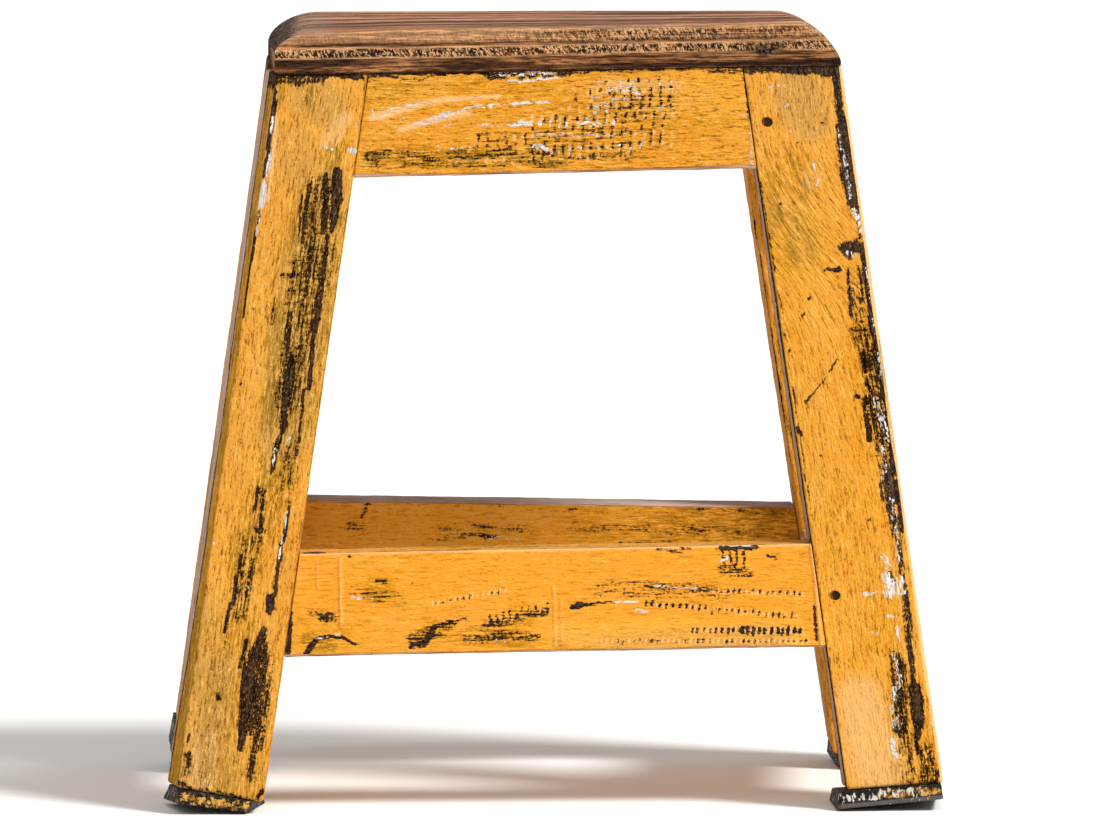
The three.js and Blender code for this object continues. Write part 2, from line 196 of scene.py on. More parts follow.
def bar(name, a0, b0, length, put, size, radius, cells, cell_s, ends, holes=(), rows=None, caps=("flat", "flat"), zone=3.0):
    """Vertices and faces of a bar. put(a, b, v) gives the 3-D place, size(v) the section's A and B,
    radius(v, s) the four corner radii, and ends the rounding of both ends.
    Returns a dict with the faces and, for each vertex, a, b, v, side, t, s, outward section
    direction, inset and sunk depth."""
    ck, ct = columns(a0, b0, zone, cells)
    s, e = rows if rows is not None else row_places(length, cell_s, *ends)
    nc, nr = len(ck), len(s)
    K, T = np.tile(ck, nr), np.tile(ct, nr)
    S, E = np.repeat(s, nc), np.repeat(e, nc)
    depth = np.zeros(nc * nr)
    used = np.ones((nr, nc), bool)
    quad = np.ones((nr - 1, nc), bool)
    ring_faces, more = [], []
    count = nc * nr
    for hk, ht, hs, hr, deep in holes:
        cols = np.where((ck == hk) & (np.abs(ct - ht) < hr + 1.6 * cells[hk]))[0]
        rws = np.where(np.abs(s - hs) < hr + 1.6 * cell_s)[0]
        c0, c1, r0, r1 = cols[0], cols[-1], rws[0], rws[-1]
        quad[r0:r1, c0:c1] = False
        used[r0 + 1 : r1, c0 + 1 : c1] = False
        loop = [(r0, c) for c in range(c0, c1)] + [(r, c1) for r in range(r0, r1)] + [(r1, c) for c in range(c1, c0, -1)] + [(r, c0) for r in range(r1, r0, -1)]
        bt = np.array([ct[c] - ht for _, c in loop])
        bs = np.array([s[r] - hs for r, _ in loop])
        ang = np.arctan2(bs, bt)
        ring = [r * nc + c for r, c in loop]
        for f, rad, dep in ((0.55, None, 0.0), (1.0, hr + 0.45, -0.06), (1.0, hr + 0.1, 0.05), (1.0, hr - 0.1, 0.5), (1.0, hr - 0.15, deep)):
            ct2, cs2 = np.cos(ang) * (rad or hr + 0.45), np.sin(ang) * (rad or hr + 0.45)
            tt = ht + bt * (1 - f) + ct2 * f
            ss = hs + bs * (1 - f) + cs2 * f
            new = list(range(count, count + len(loop)))
            count += len(loop)
            more.append((np.full(len(loop), hk), tt, ss, np.zeros(len(loop)), np.full(len(loop), dep)))
            for i in range(len(loop)):
                j = (i + 1) % len(loop)
                ring_faces.append((ring[i], ring[j], new[j], new[i]))
            ring = new
        more.append((np.array([hk]), np.array([ht]), np.array([hs]), np.zeros(1), np.array([deep])))
        for i in range(len(ring)):
            ring_faces.append((ring[i], ring[(i + 1) % len(ring)], count))
        count += 1
    for k2, t2, s2, e2, d2 in more:
        K, T, S, E, depth = np.concatenate([K, k2]), np.concatenate([T, t2]), np.concatenate([S, s2]), np.concatenate([E, e2]), np.concatenate([depth, d2])
    V = S / length
    A, B = size(V)
    P, D = section(K, T, A, B, radius(V, S), a0, b0, zone)
    rr, cc = np.where(quad)
    c2 = (cc + 1) % nc
    faces = np.stack([rr * nc + cc, rr * nc + c2, (rr + 1) * nc + c2, (rr + 1) * nc + cc], 1).tolist()
    faces += [list(f) for f in ring_faces]
    a, b, da, db = P[:, 0], P[:, 1], D[:, 0], D[:, 1]
    keep = np.concatenate([used.ravel(), np.ones(count - nr * nc, bool)])
    # Caps
    for end in (0, 1):
        first = 0 if end == 0 else (nr - 1) * nc
        ids = np.arange(first, first + nc)
        kind = caps[end]
        ea = a[ids] - da[ids] * E[ids]
        eb = b[ids] - db[ids] * E[ids]
        ev, es = V[ids], S[ids]
        Ac, Bc = float(A[first]), float(B[first])
        steps = []
        if kind == "tenon":
            ia, ib = np.clip(ea, 8, Ac - 8), np.clip(eb, 7, Bc - 7)
            out = (-7.0 if end == 0 else 7.0)
            steps = [(ia, ib, es), (ia, ib, es + out), (ia * 0.4 + Ac * 0.3, ib * 0.4 + Bc * 0.3, es + out)]
        else:
            for f in (0.9, 0.65, 0.35):
                steps.append((ea * f + Ac / 2 * (1 - f), eb * f + Bc / 2 * (1 - f), es))
        ring = ids.tolist()
        for ra, rb, rs in steps:
            new = list(range(count, count + nc))
            count += nc
            a, b = np.concatenate([a, ra]), np.concatenate([b, rb])
            S, V = np.concatenate([S, rs]), np.concatenate([V, rs / length])
            for i in range(nc):
                j = (i + 1) % nc
                q = [ring[i], new[i], new[j], ring[j]]
                faces.append(q if end else q[::-1])
                if end == 0:
                    faces[-1] = [ring[i], new[i], new[j], ring[j]]
                else:
                    faces[-1] = [ring[j], new[j], new[i], ring[i]]
            ring = new
        # centre
        a, b = np.append(a, Ac / 2), np.append(b, Bc / 2)
        S, V = np.append(S, steps[-1][2][0]), np.append(V, steps[-1][2][0] / length)
        for i in range(nc):
            j = (i + 1) % nc
            faces.append([ring[i], count, ring[j]] if end == 0 else [ring[j], count, ring[i]])
        count += 1
    extra = count - len(K)
    K = np.concatenate([K, np.full(extra, -1)])
    T = np.concatenate([T, np.zeros(extra)])
    E = np.concatenate([E, np.zeros(extra)])
    depth = np.concatenate([depth, np.zeros(extra)])
    da, db = np.concatenate([da, np.zeros(extra)]), np.concatenate([db, np.zeros(extra)])
    keep = np.concatenate([keep, np.ones(extra, bool)])
    a, b = a - da * E, b - db * E
    base = put(a, b, V)
    tip = put(a + da * 0.5, b + db * 0.5, V)
    out = tip - base
    far = np.linalg.norm(out, axis=1)
    out[far > 0] /= far[far > 0, None]
    # renumber without the vertices that holes removed
    new_id = np.cumsum(keep) - 1
    faces = [[int(new_id[i]) for i in f] for f in faces]
    sel = keep
    return dict(name=name, faces=faces, a=a[sel], b=b[sel], v=V[sel], s=S[sel], k=K[sel], t=T[sel], e=E[sel], depth=depth[sel], base=base[sel], out=out[sel], a0=a0, b0=b0, zone=zone, length=length, round=1 - np.abs(np.abs(np.where(K[sel] % 2 == 0, db[sel], da[sel]))))


def make(piece, disp, attributes, material, replaced):
    """Builds the mesh object of a piece from its bar and the outward shift of each vertex."""
    pos = piece["base"] + piece["out"] * (disp - piece["depth"])[:, None]
    faces = piece["faces"]
    # turn the faces outwards if the bar came out left-handed
    tri = np.array([(f[0], f[1], f[2]) for f in faces if len(f) == 4] + [(f[0], f[2], f[3]) for f in faces if len(f) == 4] + [tuple(f) for f in faces if len(f) == 3])
    p = pos - pos.mean(0)
    volume = np.einsum("ij,ij->i", p[tri[:, 0]], np.cross(p[tri[:, 1]], p[tri[:, 2]])).sum()
    if volume < 0:
        faces = [f[::-1] for f in faces]
    mesh = bpy.data.meshes.new(piece["name"])
    mesh.from_pydata((pos * 0.001).tolist(), [], faces)
    mesh.polygons.foreach_set("use_smooth", np.ones(len(mesh.polygons), bool))
    for key, value in attributes.items():
        if value.ndim == 2:
            at = mesh.attributes.new(key, "FLOAT_VECTOR", "POINT")
            at.data.foreach_set("vector", value.astype(np.float32).ravel())
        else:
            at = mesh.attributes.new(key, "FLOAT", "POINT")
            at.data.foreach_set("value", value.astype(np.float32))
    mesh.update()
    ob = bpy.data.objects.new(piece["name"], mesh)
    scene.collection.objects.link(ob)
    mesh.materials.append(material)
    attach(ob, "root")
    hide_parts(*replaced)
    return ob


# ------------------------------------------------------------------- strokes
def along(points, p):
    """Distance from each point p to a line of points (x, y, width), and the width there."""
    best = np.full(len(p), 1e9)
    wide = np.ones(len(p))
    for (x0, y0, w0), (x1, y1, w1) in zip(points[:-1], points[1:]):
        d = np.array([x1 - x0, y1 - y0])
        q = p - (x0, y0)
        u = np.clip(q @ d / max(d @ d, 1e-9), 0, 1)
        far = np.linalg.norm(q - u[:, None] * d, axis=1)
        w = w0 + (w1 - w0) * u
        near = far / w < best / wide
        best, wide = np.where(near, far, best), np.where(near, w, wide)
    return best, wide


def brushed(p, strokes):
    """Strongest stroke at each point: strokes are (strength, [(x, y, width), ...])."""
    out = np.zeros(len(p))
    for strength, points in strokes:
        if len(points) == 1:
            points = [points[0], (points[0][0] + 0.01, points[0][1], points[0][2])]
        reach = max(w for _, _, w in points)
        xs, ys = [q[0] for q in points], [q[1] for q in points]
        near = (p[:, 0] > min(xs) - reach) & (p[:, 0] < max(xs) + reach) & (p[:, 1] > min(ys) - reach) & (p[:, 1] < max(ys) + reach)
        if not near.any():
            continue
        d, w = along(points, p[near])
        out[near] = np.maximum(out[near], strength * smooth(0.84, 0.2, d / w))
    return out


def box_of(strength, x0, y0, x1, y1, lean=0.0):
    """A soft-edged patch from (x0, y0) to (x1, y1), as one thick stroke along its longer side."""
    if abs(x1 - x0) > abs(y1 - y0):
        w, m = abs(y1 - y0), (y0 + y1) / 2
        return (strength, [(x0 + w * 0.3, m, w), (x1 - w * 0.3, m + lean, w)])
    w, m = abs(x1 - x0), (x0 + x1) / 2
    return (strength, [(m, y0 + w * 0.3, w), (m + lean, y1 - w * 0.3, w)])


def dots(strength, x0, y0, x1, y1, step, tall, wide, seed, skip=0.0):
    """A row of small upright marks."""
    rng = np.random.default_rng(seed)
    n = max(1, int(abs(x1 - x0) / step))
    out = []
    for i in range(n + 1):
        x, y = x0 + (x1 - x0) * i / n + rng.normal() * step * 0.08, y0 + (y1 - y0) * i / n + rng.normal() * 0.5
        q = rng.random()
        if q < skip:
            continue
        h = tall * (0.7 + 0.5 * rng.random())
        out.append((strength * (0.75 + 0.35 * rng.random()), [(x + 0.4, y - h / 2, wide), (x - 0.4, y + h / 2, wide)]))
    return out


# Wear as the photograph shows it, at the places where it shows: (strength, line of x, y, width).
# Some marks in DARK and WHITE are not rubbing: those noted at them are painted shade and painted highlight.
DARK = {
    "leg_front_left": [
        (1.3, [(262, 74, 6), (300, 74.5, 5), (330, 75.5, 4.5), (362, 78, 4)]),
        (0.7, [(276, 80, 8), (300, 82, 8), (322, 80, 6)]), (0.95, [(293, 79, 5), (300, 83, 4)]), (0.9, [(283, 83, 5)]),
        (1.4, [(275, 90, 3.6), (273.6, 105, 4.6), (272, 118, 4.2), (270, 135, 4.2), (267.5, 160, 4)]),
        (1.3, [(266.5, 160, 3.6), (265, 172, 4), (263, 178, 4)]),
        (0.85, [(260, 211, 3), (256, 232, 3), (252.5, 250, 3.4)]),
        (1.3, [(252.6, 250, 3), (248.6, 275, 3), (245.4, 301, 2.4), (243, 318, 1.8)]),
        (1.35, [(337.5, 173, 8.5), (336.5, 195, 10), (334.5, 214, 8), (331.5, 228, 5)]),
        (0.9, [(325.5, 176, 7), (325, 205, 8), (323, 233, 7)]),
        (0.75, [(309, 184, 4), (306, 210, 6), (303, 240, 5)]), (0.72, [(301, 196, 3), (299, 236, 3)]),
        (0.45, [(318, 184, 26), (314, 235, 34)]), (0.5, [(318, 240, 34), (312, 275, 38), (304, 310, 34)]),
        (0.72, [(282, 275.5, 5), (300, 276, 6), (321, 278, 6)]), (0.6, [(290, 262, 4), (330, 262, 4)]), (0.6, [(288, 292, 4), (326, 292, 4)]), (0.55, [(284, 305, 4), (322, 306, 4)]),
        (1.0, [(327, 236, 3), (324, 270, 4), (319, 300, 7), (316, 322, 7), (314, 333, 4)]),
        (1.25, [(313.5, 325, 4), (312, 352, 4.5), (309, 390, 3.6)]),
        (1.05, [(292, 356, 6), (289.5, 374, 10), (286, 398, 8), (283, 428, 7)]),
        (0.75, [(290, 314, 6), (286.5, 352, 6)]),
        (0.5, [(298, 318, 26), (288, 400, 28)]), (0.42, [(276, 302, 8), (270, 322, 8)]),
        (1.0, [(304, 390, 3.2), (301.5, 415, 3.2), (299, 441, 3)]),
        (0.9, [(284, 428, 5), (277, 444, 6), (272, 470, 5)]),
        (0.72, [(298, 440, 5), (294, 462, 4)]), (0.42, [(292, 450, 18), (282, 500, 18)]),
        (1.0, [(241, 384, 3.4)]), (0.8, [(253, 309, 3)]),
        (1.1, [(258.5, 486, 3), (256, 500, 3.6), (253.6, 513, 3)]), (0.62, [(264, 488, 6), (260, 530, 6)]),
        (1.15, [(257, 531, 5), (264, 530, 5)]),
        (0.95, [(289, 507, 3.4), (286, 524, 4), (283, 541, 4)]), (1.1, [(281.4, 543, 3.6), (278, 570, 4), (274.5, 596, 4)]),
        (1.35, [(270, 598, 7), (271, 607, 9), (268, 613, 5)]),
        (1.05, [(241, 557, 2.6), (237, 580, 3.4), (233.5, 602, 4)]), (1.1, [(231, 602, 3.6), (227, 620, 4), (224, 634, 3)]),
        (0.8, [(254, 554, 3), (250, 575, 3), (246.5, 596, 3)]), (0.45, [(252, 540, 22), (240, 610, 24)]),
        (1.3, [(264, 628, 5), (260, 645, 9), (256, 664, 10)]), (1.35, [(251, 668, 14), (249, 690, 17), (247, 708, 14), (243, 726, 8), (240, 750, 5)]),
        (0.78, [(258, 655, 26), (255, 700, 28), (250, 725, 24)]),
        (0.72, [(247, 640, 4), (240, 668, 5)]),
        (0.7, [(264, 650, 12), (262, 700, 14), (258, 745, 12)]), (0.62, [(254, 750, 9), (250, 778, 10)]),
        (0.8, [(217, 693, 4), (219, 698, 4)]), (0.2, [(222, 640, 20), (210, 720, 22), (205, 780, 22)]),
        (0.45, [(188, 755, 8), (186, 775, 8)]), (0.9, [(190, 734, 2.6), (187, 743, 2.6)]), (0.75, [(189, 756, 6), (188, 764, 6)]),
        (0.95, [(182.6, 708, 3), (183, 714, 3)]),
        (0.75, [(262, 790, 5), (257, 797, 5)]), (0.7, [(176, 783, 5), (190, 787, 4)]), (0.6, [(200, 789, 3), (240, 796, 3)]),
    ],
    "leg_front_right": [
        (1.5, [(742, 66, 11), (790, 67.5, 11), (842, 69, 11)]),
        (1.4, [(835.6, 76, 6), (837.5, 95, 6.5), (841, 115, 7), (844, 128, 8)]),
        (1.35, [(841, 128, 11), (845, 148, 13), (847.5, 165, 13)]),
        (1.3, [(846.5, 160, 13), (849.5, 180, 13), (852, 203, 10)]),
        (0.9, [(853, 203, 6), (858, 210, 5), (858.6, 219, 4)]),
        (0.6, [(859, 224, 5), (861, 236, 6)]),
        (1.35, [(846, 246, 10), (856, 246, 12), (863, 250, 9)]), (0.8, [(842, 247, 8), (850, 256, 6)]),
        (1.3, [(863.5, 246, 7), (866, 262, 8), (868, 280, 8), (871, 305, 7)]),
        (1.15, [(870.5, 305, 8), (874.5, 330, 8), (877, 350, 8)]),
        (0.95, [(825, 268.6, 3), (840, 269.6, 4)]),
        (0.85, [(848, 268, 3), (850.6, 316, 3)]), (0.8, [(857.6, 266, 3), (861, 282, 4), (862, 300, 4)]),
        (0.55, [(858, 290, 22), (866, 335, 24)]), (0.75, [(850, 330, 3), (868, 331, 4)]),
        (1.2, [(876, 350, 7), (880, 372, 7), (886, 405, 8)]),
        (1.0, [(863, 352, 4), (866, 372, 4)]), (1.0, [(856, 398, 5), (870, 401, 7)]), (0.9, [(864, 404, 6), (869, 440, 6)]),
        (0.62, [(868, 340, 18), (876, 400, 20)]), (0.72, [(876, 400, 18), (884, 450, 18)]),
        (1.1, [(886, 405, 7), (889, 425, 8), (891, 445, 7)]),
        (1.25, [(891, 445, 6), (894, 475, 7)]), (0.72, [(882, 445, 12), (886, 470, 12)]),
        (1.45, [(888, 478, 12), (892, 490, 15), (893, 500, 12)]),
        (1.1, [(898.6, 498, 5), (899.6, 515, 5), (902, 530, 4)]), (1.05, [(889.6, 507, 3.6), (893, 527, 3.6)]), (0.95, [(880.6, 485, 4), (882.6, 500, 3)]),
        (0.7, [(892, 506, 12), (897, 535, 10)]), (0.62, [(898, 535, 6), (902, 570, 7)]),
        (1.2, [(890.5, 574, 6), (893.5, 583, 6)]), (1.35, [(903, 577, 4.4), (905.6, 596, 4.6)]),
        (0.75, [(906, 598, 7), (909, 646, 8)]), (1.1, [(909, 645, 5), (913, 668, 6), (913.5, 688, 6)]),
        (0.74, [(900, 656, 9), (904, 686, 10)]), (0.55, [(893, 650, 8), (897, 690, 12)]),
        (1.5, [(914, 690, 11), (917, 706, 14), (917.5, 720, 11), (918.5, 737, 4)]), (0.9, [(916, 738, 4), (917, 752, 4)]),
        (0.74, [(899, 690, 14), (899, 730, 14)]), (0.7, [(905, 698, 6), (906, 726, 6)]),
        (0.62, [(927, 752, 17), (928, 776, 17)]), (0.4, [(908, 735, 24), (914, 780, 30)]),
        (1.1, [(938, 772, 2.4), (936.5, 781, 3), (931, 783.4, 2.4)]),
        (0.55, [(822, 124, 5)]), (0.95, [(797.6, 142.4, 3)]), (1.0, [(780, 203, 2.8)]), (1.0, [(809, 298.7, 4)]), (1.0, [(803, 315.8, 3.6)]),
        (0.8, [(790, 350, 3)]), (0.9, [(806, 402, 3.4), (812, 395, 1.8), (822, 383, 1.8), (830, 372, 1.8), (837, 360, 2)]), (0.8, [(820, 455, 3)]), (0.6, [(869, 520, 5)]),
        (1.3, [(797.5, 431, 3), (800, 434, 5)]), (0.8, [(797, 428, 3)]), (0.8, [(794, 389, 3), (794.6, 398, 3)]), (0.9, [(793.6, 402, 2)]), (0.7, [(795, 413, 2)]),
        # painted shade: a dark line along the inner front arris of this leg
        (0.5, [(760, 182, 2.4), (780, 300, 2.2), (812, 520, 2.0)]),
    ],
    "apron_front": [
        (1.3, [(330, 76, 5), (372, 76.5, 4), (395, 76, 3), (420, 74, 3.6), (455, 72, 4), (489, 72, 6)]),
        (0.9, [(400, 81, 3), (424, 79, 3), (437, 77.5, 3)]), (0.8, [(366, 80, 4), (380, 80, 3)]),
        (1.3, [(489, 74, 9), (520, 73, 10), (560, 72, 8), (590, 70, 5)]),
        (1.2, [(590, 69, 4), (640, 67.5, 3.6), (700, 67, 3.6), (745, 67, 5)]), (0.8, [(600, 71, 5), (640, 69, 5)]),
        (0.95, [(650, 68, 4), (700, 69, 5), (745, 70, 8)]),
        (1.0, [(450, 156.6, 3.4), (480, 156, 4.4), (513, 155, 3.4)]), (0.9, [(459, 149, 3), (482, 148, 3), (513, 149, 3)]), (0.6, [(450, 153, 11), (513, 152, 11)]),
        (0.85, [(366, 154, 6), (390, 153, 7)]), (0.62, [(364, 160, 5), (392, 158, 6)]),
        (0.85, [(398, 153, 7), (412, 153, 8), (430, 152, 6)]), (0.6, [(400, 158, 8), (440, 158, 8)]),
        (0.6, [(364, 165, 5), (400, 164, 6), (500, 165, 7), (577, 162, 6)]), (0.75, [(462, 164.5, 4), (540, 165, 5)]),
        (0.72, [(529, 150, 9), (560, 150, 10)]), (0.55, [(560, 158, 10), (640, 154, 10)]),
        (0.9, [(722.6, 134.6, 3)]), (0.75, [(744, 126, 3)]), (0.75, [(693, 98, 2.4)]), (0.7, [(700, 120, 2.4)]),
        (0.4, [(600, 120, 50), (665, 108, 44)]), (0.35, [(540, 143, 26), (620, 140, 26)]),
        (0.75, [(740, 76, 4), (746, 80, 4)]), (1.0, [(745.6, 82, 2.4), (747.6, 104, 2.2), (749, 118, 2.4)]),
        (0.62, [(477, 134, 4), (560, 133, 4)]), (0.62, [(480, 141, 4), (560, 140, 4)]),
    ] + dots(1.25, 606, 81, 671, 79, 9.3, 3.6, 2.6, 11, 0.2) + dots(1.3, 590, 91, 671, 89, 9.3, 4.5, 2.8, 1, 0.1) + dots(1.25, 575, 98.5, 671, 97, 9.3, 4.5, 2.8, 2, 0.1)
    + dots(1.3, 590, 107, 671, 104, 9.3, 5, 2.8, 3) + dots(1.3, 545, 119, 665, 115, 9.3, 5.4, 2.8, 4, 0.1)
    + dots(1.25, 534, 128, 662, 125, 9.3, 4.6, 2.8, 5, 0.15) + dots(1.2, 478, 137, 660, 134, 9.3, 3.6, 2.6, 6, 0.2)
    + dots(1.2, 478, 144, 545, 143, 9.3, 3.6, 2.6, 7, 0.2) + dots(1.35, 534, 150, 660, 142, 9.3, 5.4, 3, 8, 0.05)
    + dots(1.1, 524, 158, 640, 152, 9.3, 4, 2.8, 10, 0.2),
    "stretcher_front": [
        (1.5, [(721, 547.6, 5), (755, 547.4, 5)]), (0.9, [(716, 549, 3)]),
        (0.85, [(680, 549, 3), (690, 548.6, 3)]), (0.7, [(657, 549.5, 4), (680, 551, 4)]),
        (0.9, [(768, 556, 3.4), (776, 558, 3.4)]), (0.6, [(724, 570, 12), (748, 573, 12)]),
        (1.45, [(572.5, 607.6, 5), (578, 605, 6), (586, 603.6, 4)]), (1.1, [(584, 604, 3.6), (600, 602.6, 2.4), (614, 602, 2)]),
        (1.35, [(306, 654, 5), (310, 647, 7), (316, 640, 5)]), (1.3, [(315, 638.5, 4), (330, 636.4, 3.6), (345, 638.5, 3), (357, 645, 2)]),
        (1.05, [(320, 620, 4), (331, 613, 4)]), (0.95, [(319, 614, 3), (326, 621, 4)]), (0.6, [(312, 612, 10), (332, 618, 12)]),
        (1.2, [(410, 646, 3.6), (421, 643.6, 5)]), (1.3, [(424, 645, 5), (429, 636, 7), (435, 627, 6)]), (1.15, [(436, 626, 4), (450, 622.6, 3.4), (466, 618.6, 2.6)]),
        (0.62, [(415, 640, 16), (450, 625, 12)]), (0.85, [(481, 642, 4), (505, 638, 4)]), (0.6, [(466, 640, 10), (500, 636, 12), (536, 636, 10)]),
        (0.62, [(483, 628, 8), (512, 620, 9), (545, 611, 8)]),
        (0.85, [(377, 580.4, 4), (386, 581.6, 4)]), (1.1, [(349.5, 555.6, 3.6)]), (0.8, [(412, 583, 2.4)]), (0.8, [(478, 594, 2.4)]), (0.8, [(465, 606, 2)]),
        (0.4, [(355, 592, 14), (400, 600, 14)]), (0.35, [(600, 588, 20), (720, 592, 20)]),
        (1.3, [(291.5, 612, 2.6), (290, 632, 3.4), (288, 657, 5)]),
        (0.85, [(646, 587, 3), (665, 586.6, 3)]), (0.9, [(700, 589.6, 4), (709, 590.6, 3)]), (0.6, [(665, 587, 3), (717, 590, 3)]),
        (1.2, [(814, 606, 2.4), (817, 640, 3)]),
    ] + dots(1.3, 646, 603.5, 706, 608, 6.2, 3.6, 2.6, 21, 0.1) + dots(1.2, 706, 610, 792, 615.5, 6.2, 3.4, 2.4, 22, 0.1)
    + dots(1.1, 692, 630.5, 740, 630.5, 5.4, 3.6, 2.6, 23, 0.05) + dots(1.6, 742, 630.5, 800, 631, 5.4, 5, 3.4, 24)
    + dots(1.0, 600, 641, 806, 641, 5.6, 2.8, 2.2, 25, 0.25) + dots(1.0, 714, 591, 800, 593.6, 6.4, 2.8, 2.4, 26, 0.2)
    + dots(1.1, 723, 554, 744, 554, 6.4, 4, 2.8, 29) + dots(1.1, 723, 560, 744, 560, 6.4, 4, 2.8, 30) + dots(1.0, 726, 566.5, 744, 566.5, 6.4, 3, 2.6, 35)
    + dots(0.95, 430, 604, 505, 591, 6.4, 2.6, 2.2, 27, 0.3) + dots(1.0, 484, 624, 548, 610, 6, 4, 2.6, 28, 0.1) + dots(0.95, 490, 617, 548, 604, 6, 3, 2.4, 36, 0.25),
    "stretcher_rear": [
        (1.0, [(368, 502, 5), (365, 510, 5), (362, 519, 4)]), (0.6, [(350, 527, 12), (364, 529, 10)]),
        (0.62, [(440, 538, 4), (470, 535, 5), (498, 537, 4)]), (0.9, [(482, 538.4, 2.4), (495, 538.6, 2.4)]),
        (0.45, [(440, 530, 10), (520, 528, 10)]), (0.9, [(472, 507.4, 3)]), (0.85, [(507, 528.6, 3)]), (0.8, [(500, 507, 3)]),
        (1.1, [(646, 529, 3), (649, 525, 3)]), (0.9, [(571, 511, 3), (577, 510, 2.6)]),
        (0.9, [(614, 544.6, 3), (671, 542.6, 3)]), (0.4, [(570, 528, 10), (760, 530, 12)]),
        (0.95, [(785, 501, 4), (796, 504, 5)]), (0.9, [(751, 508, 4), (757, 512, 3)]), (0.5, [(700, 509, 5), (790, 512, 7)]),
    ],
    "leg_rear_right": [(1.0, [(745, 172, 2.4), (757, 240, 2.2), (781, 400, 2.2), (791, 470, 2.2)]), (0.7, [(789, 425, 4), (791, 436, 4)]), (0.9, [(763, 253, 3)])],
}
